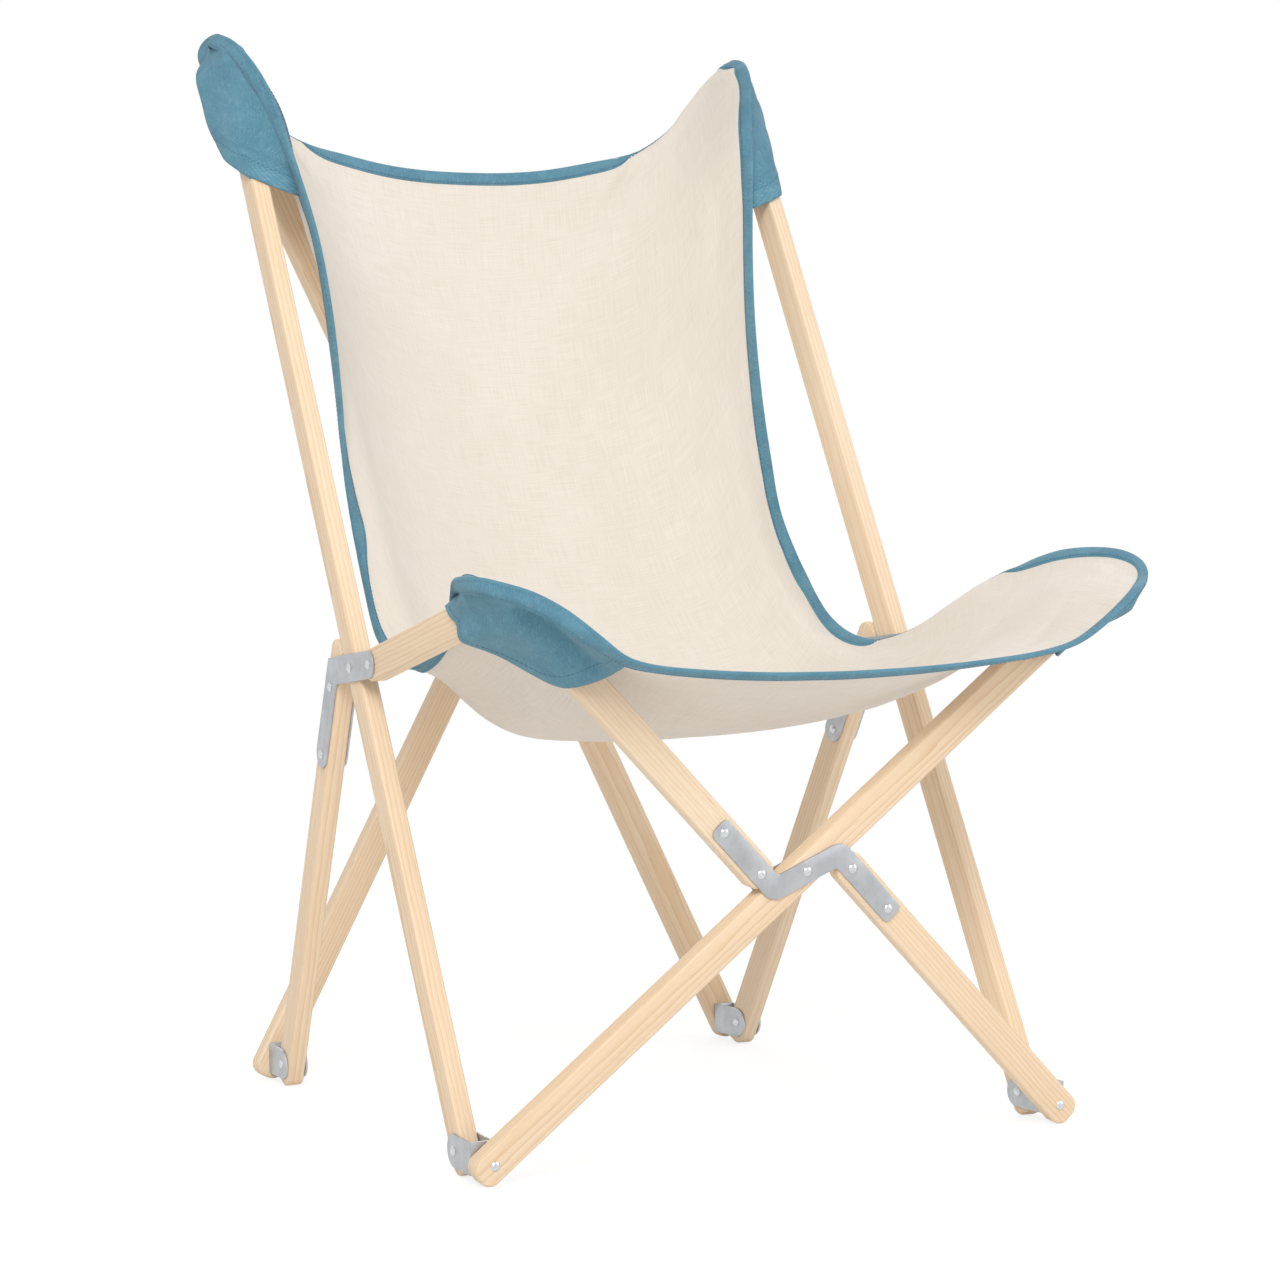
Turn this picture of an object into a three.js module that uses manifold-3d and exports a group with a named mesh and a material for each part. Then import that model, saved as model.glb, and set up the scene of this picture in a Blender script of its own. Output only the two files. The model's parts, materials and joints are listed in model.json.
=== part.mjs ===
// Folding butterfly chair: twelve flat wooden bars in four crossed panels, joined by steel plates,
// foot brackets and rivets, with a canvas sling that hangs from four sewn corner pockets.
// Millimetres, +X to the right as seen from the front, +Y to the back, +Z up.

import * as THREE from 'three';
import { mergeVertices } from 'three/addons/utils/BufferGeometryUtils.js';
import { ConvexGeometry } from 'three/addons/geometries/ConvexGeometry.js';
import Module from 'manifold-3d';

const wasm = await Module();
wasm.setup();

// Bars
const BAR_WIDTH = 30;
const BAR_THICKNESS = 18;
const BAR_END_RADIUS = 12;
const BAR_EDGE = 3;

// Steel
const PLATE_THICKNESS = 2;
const SIDE_PLATE_WIDTH = 26;
const CROSS_PLATE_WIDTH = 21;
const CHEEK_THICKNESS = 2;
const CHEEK_HEIGHT = 30;
const FIT_GAP = 0.3;

// Rivets
const SHAFT_DIAMETER = 5.6;
const HOLE_DIAMETER = 6.2;
const HEAD_DIAMETER = 9.6;
const HEAD_HEIGHT = 2.2;
const RIVET_SIDES = 10;

// Side panels: the plane of the left one, mirrored for the right one
const SIDE_HALF_WIDTH = 298.4;
const SIDE_TOE_IN = 0.0789;
const SIDE_TILT_OUT = 0.0347;
const SIDE_FOOT_U = -3.5;
const SIDE_FOOT_V = -6.5;
const SIDE_LONG_ANGLE = 28.94;
const SIDE_PIVOT_ALONG = 471.7;
const SIDE_LONG_END = 1155;
const SIDE_LOWER_ANGLE = 26;
const SIDE_LOWER_OFFSET = 41.8;
const SIDE_LOWER_FOOT = 480;
const SIDE_LOWER_TOP = 4;
const SIDE_LEG_RIVET_UPPER = 44.5;
const SIDE_LEG_RIVET_LOWER = 118.8;
const ARM_RIVET_ALONG = 28.6;
const ARM_RIVET_FORWARD = 43.6;
const ARM_RISE_ANGLE = 13.15;
const ARM_REAR_END = 16;
const ARM_FRONT_END = 252;

// Front cross, in the plane of its bars
const PLANE_HEIGHT = 29;
const FRONT_Y = -54.1;
const FRONT_TILT = 0.0891;
const FRONT_FOOT_X = SIDE_HALF_WIDTH - 0.9;
const FRONT_FOOT_V = -10.5;
const FRONT_PIVOT_X = 4;
const FRONT_PIVOT_V = 233.3;
const FRONT_OFFSET = 33.5;
const FRONT_RIVET_INNER = 34;
const FRONT_RIVET_OUTER = 90.5;
const FRONT_LONG_END = 415;
const FRONT_UPPER_END = 362;
const CROSS_BAR_END = 12;

// Rear cross, in the plane of its bars
const REAR_Y = 520;
const REAR_TILT = 0.05;
const REAR_FOOT_X = SIDE_HALF_WIDTH - 36;
const REAR_FOOT_V = -9;
const REAR_PIVOT_X = 0;
const REAR_PIVOT_V = 457.4;
const REAR_OFFSET = 32.5;
const REAR_RIVET_INNER = 30;
const REAR_RIVET_OUTER = 86.5;
const REAR_LONG_END = 566;
const REAR_UPPER_END = 570;

// Sling
const CANVAS_THICKNESS = 2.2;
const BINDING_THICKNESS = 3.6;
const BINDING_WIDTH = 11;
const SLING_GAP = 0.4;
const POCKET_WALL = 3;
const POCKET_CLEARANCE = 0.7;
const BACK_POCKET_DEPTH = 147;
const BACK_POCKET_CROSS = 90;
const SEAT_POCKET_DEPTH = 66;
const SEAT_POCKET_CROSS = 84;
const BACK_POCKET_RIM = 0.66;
const FRONT_POCKET_RIM = 0.56;
const BACK_POCKET_SIDE = 0.125;
const SEAT_POCKET_SIDE = 0.075;
const POCKET_RIM_POINTS = 6;
const EAR_START = 0.3;
const EAR_LENGTH = 0.25;
const EAR_REACH = 120;
const EAR_CELLS = 11;
const SLING_ROWS = 26;
const SLING_COLUMNS = 22;
const BACK_POWER = 2.4;
const SEAT_POWER = 1.75;
const SLING_DRAWN_HALF_WIDTH = 298.4;
const SLING_SPREAD = SIDE_HALF_WIDTH / SLING_DRAWN_HALF_WIDTH;

const HALF = BAR_THICKNESS / 2;
const PLATE_INNER = HALF + FIT_GAP;
const PLATE_OUTER = PLATE_INNER + PLATE_THICKNESS;
const RIVET_REACH = PLATE_OUTER + FIT_GAP / 3;

const vec = (x, y, z) => new THREE.Vector3(x, y, z);
const radians = THREE.MathUtils.degToRad;
const mirrored = (v) => vec(-v.x, v.y, v.z);

const wood = () => new THREE.MeshStandardMaterial({ color: 0xe8cfa6, roughness: 0.6, metalness: 0 });
const steel = () => new THREE.MeshStandardMaterial({ color: 0xb9bcc0, roughness: 0.45, metalness: 0.9 });
const rivetSteel = () => new THREE.MeshStandardMaterial({ color: 0xd5d7da, roughness: 0.3, metalness: 0.95 });
const canvas = () => new THREE.MeshStandardMaterial({ color: 0xeee6db, roughness: 0.9, metalness: 0 });
const denim = () => new THREE.MeshStandardMaterial({ color: 0x5a94af, roughness: 0.9, metalness: 0 });

const chair = new THREE.Group();
chair.name = 'butterfly_chair';

function add(name, geometry, material) {
  const mesh = new THREE.Mesh(geometry, material);
  mesh.name = name;
  chair.add(mesh);
  return mesh;
}

function solidOf(geometry) {
  const bare = new THREE.BufferGeometry();
  bare.setAttribute('position', geometry.getAttribute('position').clone());
  if (geometry.index) bare.setIndex(geometry.index.clone());
  const merged = mergeVertices(bare, 1e-4);
  const mesh = new wasm.Mesh({
    numProp: 3,
    vertProperties: Float32Array.from(merged.getAttribute('position').array),
    triVerts: Uint32Array.from(merged.index.array),
  });
  mesh.merge();
  return new wasm.Manifold(mesh);
}

function geometryOf(solid) {
  const mesh = solid.getMesh();
  const geometry = new THREE.BufferGeometry();
  geometry.setAttribute('position', new THREE.BufferAttribute(Float32Array.from(mesh.vertProperties), 3));
  geometry.setIndex(new THREE.BufferAttribute(Uint32Array.from(mesh.triVerts), 1));
  geometry.computeVertexNormals();
  return geometry;
}

// Frame of a flat piece: x along it, y across it, z along its plane's normal
function frameOf(origin, along, normal) {
  const z = normal.clone().normalize();
  const x = along.clone().addScaledVector(z, -along.dot(z)).normalize();
  const y = z.clone().cross(x);
  return new THREE.Matrix4().makeBasis(x, y, z).setPosition(origin);
}

function at(frame, along, across, out = 0) {
  return vec(along, across, out).applyMatrix4(frame);
}

function pin(diameter, length) {
  const geometry = new THREE.CylinderGeometry(diameter / 2, diameter / 2, length, RIVET_SIDES);
  return geometry.rotateX(Math.PI / 2);
}

function roundedBar(start, end, width, radius) {
  const h = width / 2;
  const shape = new THREE.Shape();
  shape.moveTo(start + radius, -h);
  shape.lineTo(end - radius, -h);
  shape.absarc(end - radius, -h + radius, radius, -Math.PI / 2, 0);
  shape.absarc(end - radius, h - radius, radius, 0, Math.PI / 2);
  shape.lineTo(start + radius, h);
  shape.absarc(start + radius, h - radius, radius, Math.PI / 2, Math.PI);
  shape.absarc(start + radius, -h + radius, radius, Math.PI, 1.5 * Math.PI);
  return shape;
}

function barBlock(start, end, grow = 0) {
  const shape = roundedBar(start - grow, end + grow, BAR_WIDTH + 2 * grow, BAR_END_RADIUS + grow);
  const depth = BAR_THICKNESS + 2 * grow - 2 * BAR_EDGE;
  const geometry = new THREE.ExtrudeGeometry(shape, {
    depth,
    curveSegments: 3,
    bevelEnabled: true,
    bevelThickness: BAR_EDGE,
    bevelSize: BAR_EDGE,
    bevelOffset: -BAR_EDGE,
    bevelSegments: 2,
  });
  return geometry.translate(0, 0, -depth / 2);
}

const bars = new Map();

// A wooden bar from start to end along its frame, drilled through at each listed place
function bar(name, frame, start, end, holes) {
  let solid = solidOf(barBlock(start, end));
  for (const along of holes) {
    const drill = pin(HOLE_DIAMETER, 2 * BAR_THICKNESS).translate(along, 0, 0);
    solid = solid.subtract(solidOf(drill));
  }
  bars.set(name, { frame, start, end });
  add(name, geometryOf(solid).applyMatrix4(frame), wood());
}

// Length of a bar's foot below its rivet, so that its rounded end touches the floor
function footLength(rivetHeight, lean) {
  const corner = BAR_END_RADIUS * (Math.cos(lean) + Math.sin(lean) - 1);
  return (rivetHeight - (BAR_WIDTH / 2) * Math.sin(lean) + corner) / Math.cos(lean);
}

// Outline of a strip of one width along a bent line, with round ends
function strip(points, width) {
  const h = width / 2;
  const count = points.length;
  const heading = (i) => points[i + 1].clone().sub(points[i]).normalize();
  const normalAt = (i) => {
    const before = heading(Math.max(i - 1, 0));
    const after = heading(Math.min(i, count - 2));
    const sum = before.clone().add(after).normalize();
    const scale = h / sum.dot(after);
    return new THREE.Vector2(-sum.y, sum.x).multiplyScalar(scale);
  };
  const shape = new THREE.Shape();
  const first = points[0].clone().sub(normalAt(0));
  shape.moveTo(first.x, first.y);
  for (let i = 1; i < count; i += 1) {
    const p = points[i].clone().sub(normalAt(i));
    shape.lineTo(p.x, p.y);
  }
  const last = heading(count - 2);
  const endAngle = Math.atan2(last.y, last.x);
  shape.absarc(points[count - 1].x, points[count - 1].y, h, endAngle - Math.PI / 2, endAngle + Math.PI / 2);
  for (let i = count - 2; i >= 0; i -= 1) {
    const p = points[i].clone().add(normalAt(i));
    shape.lineTo(p.x, p.y);
  }
  const front = heading(0);
  const startAngle = Math.atan2(front.y, front.x);
  shape.absarc(points[0].x, points[0].y, h, startAngle + Math.PI / 2, startAngle + 1.5 * Math.PI);
  return shape;
}

// A pair of equal plates, one on each face of the bars they join
function platePair(name, frame, line, holes, width) {
  const shape = strip(line, width);
  for (const hole of holes) {
    const path = new THREE.Path();
    path.absarc(hole.x, hole.y, HOLE_DIAMETER / 2, 0, 2 * Math.PI, true);
    shape.holes.push(path);
  }
  const blank = { depth: PLATE_THICKNESS, bevelEnabled: false, curveSegments: 6 };
  const outer = new THREE.ExtrudeGeometry(shape, blank).translate(0, 0, PLATE_INNER);
  const inner = new THREE.ExtrudeGeometry(shape, blank).translate(0, 0, -PLATE_OUTER);
  add(`${name}_plate_outer`, outer.applyMatrix4(frame), steel());
  add(`${name}_plate_inner`, inner.applyMatrix4(frame), steel());
}

function domeProfile(base) {
  const r = HEAD_DIAMETER / 2;
  const top = base + HEAD_HEIGHT;
  return [
    new THREE.Vector2(r, base),
    new THREE.Vector2(r * 0.75, base + HEAD_HEIGHT * 0.7),
    new THREE.Vector2(0, top),
  ];
}

// A rivet with a dome at each end, its heads at low and high along the frame's normal
function rivet(name, frame, along, across, low, high) {
  const shaft = SHAFT_DIAMETER / 2;
  const upper = domeProfile(high);
  const lower = domeProfile(-low).map((p) => new THREE.Vector2(p.x, -p.y)).reverse();
  const profile = [...lower, new THREE.Vector2(shaft, low), new THREE.Vector2(shaft, high), ...upper];
  const geometry = new THREE.LatheGeometry(profile, RIVET_SIDES).rotateX(Math.PI / 2);
  add(name, geometry.translate(along, across, 0).applyMatrix4(frame), rivetSteel());
}

// A rivet half: one dome and a blind shaft
function rivetHalf(name, frame, along, across, tip, high) {
  const shaft = SHAFT_DIAMETER / 2;
  const profile = [
    new THREE.Vector2(0, tip),
    new THREE.Vector2(shaft, tip),
    new THREE.Vector2(shaft, high),
    ...domeProfile(high),
  ];
  const geometry = new THREE.LatheGeometry(profile, RIVET_SIDES).rotateX(Math.PI / 2);
  add(name, geometry.translate(along, across, 0).applyMatrix4(frame), rivetSteel());
}

// Planes of the four panels
function sidePlane(side) {
  const flip = (v) => (side === 'left' ? v : mirrored(v));
  const normal = vec(-1, SIDE_TOE_IN, -SIDE_TILT_OUT).normalize();
  const back = vec(SIDE_TOE_IN, 1, 0).normalize();
  const up = normal.clone().cross(back);
  if (up.z < 0) up.negate();
  const origin = vec(-SIDE_HALF_WIDTH, 0, PLANE_HEIGHT);
  const point = (u, v) => flip(origin.clone().addScaledVector(back, u).addScaledVector(up, v));
  const heading = (u, v) => flip(back.clone().multiplyScalar(u).addScaledVector(up, v));
  return { normal: flip(normal), point, heading };
}

function crossPlane(y, lean, outward) {
  const normal = vec(0, outward, lean > 0 ? -lean : lean).normalize();
  const up = vec(0, outward * lean, 1).normalize();
  const origin = vec(0, y, PLANE_HEIGHT);
  const point = (x, v) => origin.clone().add(vec(x, 0, 0)).addScaledVector(up, v);
  const heading = (x, v) => vec(x, 0, 0).addScaledVector(up, v);
  return { normal, point, heading, up };
}

const frontPlane = crossPlane(FRONT_Y, FRONT_TILT, -1);
const rearPlane = crossPlane(REAR_Y, REAR_TILT, 1);
const sides = { left: sidePlane('left'), right: sidePlane('right') };

// One side panel: a long bar to the back corner, a lower leg, and a short arm to the seat corner
const lowerLean = radians(SIDE_LOWER_ANGLE);
const longLean = radians(SIDE_LONG_ANGLE);
const pivotU = SIDE_FOOT_U + SIDE_PIVOT_ALONG * Math.sin(longLean);
const pivotV = SIDE_FOOT_V + SIDE_PIVOT_ALONG * Math.cos(longLean);
const sideFeet = {};

function sidePanel(side) {
  const plane = sides[side];
  const foot = plane.point(SIDE_FOOT_U, SIDE_FOOT_V);
  const longFrame = frameOf(foot, plane.heading(Math.sin(longLean), Math.cos(longLean)), plane.normal);
  const longFoot = footLength(PLANE_HEIGHT + SIDE_FOOT_V, longLean);
  bar(`${side}_long_bar`, longFrame, -longFoot, SIDE_LONG_END, [0, SIDE_PIVOT_ALONG]);

  const lowerHeading = plane.heading(-Math.sin(lowerLean), Math.cos(lowerLean));
  const plateFrame = frameOf(plane.point(pivotU, pivotV), lowerHeading, plane.normal);
  const forward = plane.heading(-Math.cos(lowerLean), -Math.sin(lowerLean));
  const hand = Math.sign(forward.dot(at(plateFrame, 0, 1).sub(at(plateFrame, 0, 0))));
  const onPlate = (along, ahead) => new THREE.Vector2(along, ahead * hand);

  const lowerOrigin = at(plateFrame, 0, -SIDE_LOWER_OFFSET * hand);
  const lowerFrame = frameOf(lowerOrigin, lowerHeading, plane.normal);
  const lowerRivet = at(lowerFrame, -SIDE_LOWER_FOOT, 0);
  const lowerFoot = footLength(lowerRivet.z, lowerLean);
  const legHoles = [-SIDE_LOWER_FOOT, -SIDE_LEG_RIVET_LOWER, -SIDE_LEG_RIVET_UPPER];
  bar(`${side}_lower_bar`, lowerFrame, -SIDE_LOWER_FOOT - lowerFoot, SIDE_LOWER_TOP, legHoles);

  const rise = radians(ARM_RISE_ANGLE);
  const armPlace = onPlate(ARM_RIVET_ALONG, ARM_RIVET_FORWARD);
  const armOrigin = at(plateFrame, armPlace.x, armPlace.y);
  const armFrame = frameOf(armOrigin, plane.heading(-Math.cos(rise), Math.sin(rise)), plane.normal);
  bar(`${side}_arm_bar`, armFrame, -ARM_REAR_END, ARM_FRONT_END, [0]);

  const elbow = (SIDE_LOWER_OFFSET / ARM_RIVET_FORWARD) * ARM_RIVET_ALONG;
  const legLower = onPlate(-SIDE_LEG_RIVET_LOWER, -SIDE_LOWER_OFFSET);
  const legUpper = onPlate(-SIDE_LEG_RIVET_UPPER, -SIDE_LOWER_OFFSET);
  const middle = onPlate(0, 0);
  const line = [legLower, onPlate(-elbow, -SIDE_LOWER_OFFSET), armPlace];
  platePair(side, plateFrame, line, [legLower, legUpper, middle, armPlace], SIDE_PLATE_WIDTH);
  const named = { pivot: middle, leg_upper: legUpper, leg_lower: legLower, arm: armPlace };
  for (const [label, p] of Object.entries(named)) {
    rivet(`${side}_rivet_${label}`, plateFrame, p.x, p.y, -RIVET_REACH, RIVET_REACH);
  }
  sideFeet[side] = { front: foot, rear: lowerRivet };
}

sidePanel('left');
sidePanel('right');

// One crossed panel: a bar in one piece, and a bar in two halves set off to either side of the pivot
function crossPanel(name, plane, spec) {
  const { footX, footV, pivotX, pivotV: crossV, offset, inner, outer, longEnd, upperEnd } = spec;
  const longRivet = plane.point(-footX, footV);
  const splitRivet = plane.point(footX, footV);
  const pivot = plane.point(pivotX, crossV);
  const longHeading = pivot.clone().sub(longRivet);
  const reach = longHeading.length();
  const longFrame = frameOf(pivot, longHeading, plane.normal);
  const longLeanHere = Math.acos(longHeading.clone().normalize().dot(plane.up));
  const longFoot = footLength(longRivet.z, longLeanHere);
  bar(`${name}_long_bar`, longFrame, -reach - longFoot, longEnd, [-reach, 0]);

  const split = pivot.clone().sub(splitRivet);
  const swing = Math.asin(offset / split.length());
  const lean = Math.atan2(-split.x, split.dot(plane.up)) - swing;
  const heading = plane.heading(-Math.sin(lean), Math.cos(lean));
  const frame = frameOf(pivot, heading, plane.normal);
  const right = plane.heading(Math.cos(lean), Math.sin(lean));
  const hand = Math.sign(right.dot(at(frame, 0, 1).sub(at(frame, 0, 0))));
  const along = Math.sqrt(split.lengthSq() - offset * offset);
  const lowerFrame = frameOf(at(frame, 0, offset * hand), heading, plane.normal);
  const upperFrame = frameOf(at(frame, 0, -offset * hand), heading, plane.normal);
  const splitFoot = footLength(splitRivet.z, lean);
  bar(`${name}_lower_bar`, lowerFrame, -along - splitFoot, -inner + CROSS_BAR_END, [-along, -outer, -inner]);
  bar(`${name}_upper_bar`, upperFrame, inner - CROSS_BAR_END, upperEnd, [inner, outer]);

  const place = (a, b) => new THREE.Vector2(a, b * hand);
  const named = {
    lower_outer: place(-outer, offset),
    lower_inner: place(-inner, offset),
    pivot: place(0, 0),
    upper_inner: place(inner, -offset),
    upper_outer: place(outer, -offset),
  };
  const places = Object.values(named);
  platePair(name, frame, places, places, CROSS_PLATE_WIDTH);
  for (const [label, p] of Object.entries(named)) {
    rivet(`${name}_rivet_${label}`, frame, p.x, p.y, -RIVET_REACH, RIVET_REACH);
  }
  return { left: longRivet, right: splitRivet };
}

const frontFeet = crossPanel('front', frontPlane, {
  footX: FRONT_FOOT_X,
  footV: FRONT_FOOT_V,
  pivotX: FRONT_PIVOT_X,
  pivotV: FRONT_PIVOT_V,
  offset: FRONT_OFFSET,
  inner: FRONT_RIVET_INNER,
  outer: FRONT_RIVET_OUTER,
  longEnd: FRONT_LONG_END,
  upperEnd: FRONT_UPPER_END,
});
const rearFeet = crossPanel('rear', rearPlane, {
  footX: REAR_FOOT_X,
  footV: REAR_FOOT_V,
  pivotX: REAR_PIVOT_X,
  pivotV: REAR_PIVOT_V,
  offset: REAR_OFFSET,
  inner: REAR_RIVET_INNER,
  outer: REAR_RIVET_OUTER,
  longEnd: REAR_LONG_END,
  upperEnd: REAR_UPPER_END,
});

// Foot bracket: a bent channel, its web riveted to a crossed panel's bar, its cheeks around a side bar
function footBracket(end, side) {
  const cross = end === 'front' ? frontPlane : rearPlane;
  const crossRivet = (end === 'front' ? frontFeet : rearFeet)[side];
  const plane = sides[side];
  const pivot = sideFeet[side][end];
  const inward = cross.normal.clone().negate();
  const webInner = HALF + FIT_GAP + CHEEK_THICKNESS;
  const webMiddle = crossRivet.clone().addScaledVector(inward, webInner - CHEEK_THICKNESS / 2);
  const toWeb = plane.heading(end === 'front' ? -1 : 1, 0);
  const cheekFrame = frameOf(pivot, toWeb, plane.normal);
  const h = CHEEK_HEIGHT / 2;
  const reachAt = (across, out) => {
    const start = at(cheekFrame, 0, across, out);
    return webMiddle.clone().sub(start).dot(inward) / toWeb.dot(inward);
  };
  const solids = [];
  const edges = [];
  for (const out of [PLATE_INNER, -PLATE_INNER - CHEEK_THICKNESS]) {
    const middle = out + CHEEK_THICKNESS / 2;
    const shape = new THREE.Shape();
    shape.absarc(0, 0, h, Math.PI / 2, 1.5 * Math.PI);
    shape.lineTo(reachAt(-h, middle), -h);
    shape.lineTo(reachAt(h, middle), h);
    shape.closePath();
    const cheek = new THREE.ExtrudeGeometry(shape, {
      depth: CHEEK_THICKNESS,
      bevelEnabled: false,
      curveSegments: 6,
    }).translate(0, 0, out);
    solids.push(solidOf(cheek.applyMatrix4(cheekFrame)));
    const far = out > 0 ? out + CHEEK_THICKNESS : out;
    edges.push(at(cheekFrame, reachAt(0, far), 0, far));
  }
  const webCentre = edges[0].clone().add(edges[1]).multiplyScalar(0.5);
  const webWidth = edges[0].distanceTo(edges[1]);
  const webFrame = frameOf(webCentre, cross.up, cross.normal);
  const web = new THREE.BoxGeometry(CHEEK_HEIGHT, webWidth, CHEEK_THICKNESS);
  solids.push(solidOf(web.applyMatrix4(webFrame)));
  const pivotDrill = solidOf(pin(HOLE_DIAMETER, 3 * BAR_THICKNESS).applyMatrix4(cheekFrame));
  const webDrillFrame = frameOf(webMiddle, cross.up, cross.normal);
  const webDrill = solidOf(pin(HOLE_DIAMETER, 4 * CHEEK_THICKNESS).applyMatrix4(webDrillFrame));
  const bracket = wasm.Manifold.union(solids).subtract(pivotDrill).subtract(webDrill);
  add(`foot_bracket_${end}_${side}`, geometryOf(bracket), steel());

  rivet(`foot_rivet_${end}_${side}_side`, cheekFrame, 0, 0, -RIVET_REACH, RIVET_REACH);
  const legFrame = frameOf(crossRivet, cross.up, cross.normal);
  const headGap = FIT_GAP / 3;
  const name = `foot_rivet_${end}_${side}_cross`;
  if (end === 'rear' && side === 'right') {
    const backwards = frameOf(crossRivet, cross.up, inward);
    rivetHalf(name, legFrame, 0, 0, -HALF + FIT_GAP, HALF + headGap);
    rivetHalf(`${name}_tail`, backwards, 0, 0, webInner - CHEEK_THICKNESS + FIT_GAP, webInner + headGap);
  } else {
    rivet(name, legFrame, 0, 0, -webInner - headGap, HALF + headGap);
  }
}

for (const end of ['front', 'rear']) {
  for (const side of ['left', 'right']) {
    footBracket(end, side);
  }
}

// Sling outline: half of the back and front edges from the middle to the corner tip, and both side edges
// from the back tip to the front tip. The left side hangs a little lower than the right one at the seat.
// Beside the side plates the edge keeps its inset from the middle of the side bars.
const outline = (...points) => new THREE.CatmullRomCurve3(points, false, 'centripetal');
const hung = (x, y, z) => vec(x * SLING_SPREAD, y, z);
const besidePlate = (side, inset, y, z) => vec(side * (SIDE_HALF_WIDTH - inset), y, z);

const backLine = outline(
  hung(0, 606, 911),
  hung(90, 604, 916),
  hung(165, 597, 933),
  hung(199, 591, 947),
  hung(230, 591, 969),
  hung(258, 594, 1004),
  hung(278, 593, 1030),
  hung(291, 582, 1047),
  hung(297, 566, 1052),
);
const frontLine = outline(
  hung(0, -160, 444),
  hung(80, -162, 446),
  hung(150, -168, 451),
  hung(205, -176, 458),
  hung(232, -181, 466),
  hung(260, -186, 485),
  hung(290, -184, 508),
  hung(314, -169, 522),
  hung(332, -150, 529),
  hung(345, -134, 533),
  hung(350, -118, 533),
);
const upperSide = (side) => [
  hung(297 * side, 566, 1052),
  hung(299 * side, 548, 1049),
  hung(293 * side, 527, 1038),
  hung(283 * side, 501, 1013),
  hung(264 * side, 465, 946),
  hung(246 * side, 436, 841),
  hung(238 * side, 410, 725),
  hung(237 * side, 378, 625),
  besidePlate(side, 50.4, 315, 512),
  besidePlate(side, 42.4, 264, 463),
];
const leftLine = outline(
  ...upperSide(-1),
  besidePlate(-1, 36.4, 232, 446),
  besidePlate(-1, 28.4, 165, 434),
  besidePlate(-1, 22.4, 92, 459),
  hung(-306, 0, 504),
  hung(-334, -72, 527),
  hung(-345, -98, 532),
  hung(-350, -118, 533),
);
const rightLine = outline(
  ...upperSide(1),
  besidePlate(1, 42.4, 215, 447),
  besidePlate(1, 36.4, 158, 457),
  hung(290, 60, 512),
  hung(321, -30, 541),
  hung(334, -66, 544),
  hung(345, -95, 541),
  hung(350, -118, 533),
);
const middleLine = outline(
  hung(0, 606, 911),
  hung(0, 583, 830),
  hung(0, 545, 740),
  hung(0, 494, 630),
  hung(0, 420, 512),
  hung(0, 333, 426),
  hung(0, 240, 379),
  hung(0, 140, 366),
  hung(0, 20, 382),
  hung(0, -80, 411),
  hung(0, -160, 444),
);

// Places where the bars under the cloth push it out of its free curve: where, how far around, how far out
const pushes = [
  { s: -0.66, t: 0.915, wide: 0.27, long: 0.05, out: vec(0, 0, 29) },
  { s: 0.62, t: 0.92, wide: 0.24, long: 0.05, out: vec(0, 0, 19) },
  { s: -0.93, t: 0.91, wide: 0.06, long: 0.05, out: vec(3, 0, 6) },
  { s: -0.955, t: 0.04, wide: 0.06, long: 0.055, out: vec(19, -3, 5) },
  { s: 0.955, t: 0.04, wide: 0.06, long: 0.055, out: vec(-19, -3, 5) },
  { s: -0.79, t: 0.05, wide: 0.12, long: 0.04, out: vec(5, -5, 0) },
  { s: 0.79, t: 0.05, wide: 0.12, long: 0.04, out: vec(-5, -5, 0) },
];

const smooth = THREE.MathUtils.smoothstep;
const mix = THREE.MathUtils.lerp;

function edgePoint(edge, s) {
  const p = edge.getPointAt(Math.abs(s));
  return s < 0 ? mirrored(p) : p;
}

function spanned(s, t) {
  const k = (s + 1) / 2;
  const across = edgePoint(backLine, s).lerp(edgePoint(frontLine, s), t);
  const down = leftLine.getPointAt(t).lerp(rightLine.getPointAt(t), k);
  const backTips = leftLine.getPointAt(0).lerp(rightLine.getPointAt(0), k);
  const frontTips = leftLine.getPointAt(1).lerp(rightLine.getPointAt(1), k);
  return across.add(down).sub(backTips.lerp(frontTips, t));
}

// Sling surface: s runs from the left edge (-1) to the right edge (1), t from the back edge to the front
function onSling(s, t) {
  const sag = middleLine.getPointAt(t).sub(spanned(0, t));
  const power = mix(BACK_POWER, SEAT_POWER, smooth(t, 0.45, 0.65));
  const p = spanned(s, t).addScaledVector(sag, 1 - Math.abs(s) ** power);
  const inside = smooth(1 - Math.abs(s), 0, 0.045) * smooth(t, 0, 0.025) * smooth(1 - t, 0, 0.03);
  for (const push of pushes) {
    const away = ((s - push.s) / push.wide) ** 2 + ((t - push.t) / push.long) ** 2;
    p.addScaledVector(push.out, inside * Math.exp(-away));
  }
  return p;
}

// Square to the sling, away from the sitter
function slingNormal(s, t) {
  const step = 4e-3;
  const across = onSling(Math.min(s + step, 1), t).sub(onSling(Math.max(s - step, -1), t));
  const down = onSling(s, Math.min(t + step, 1)).sub(onSling(s, Math.max(t - step, 0)));
  return across.cross(down).normalize();
}

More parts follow.
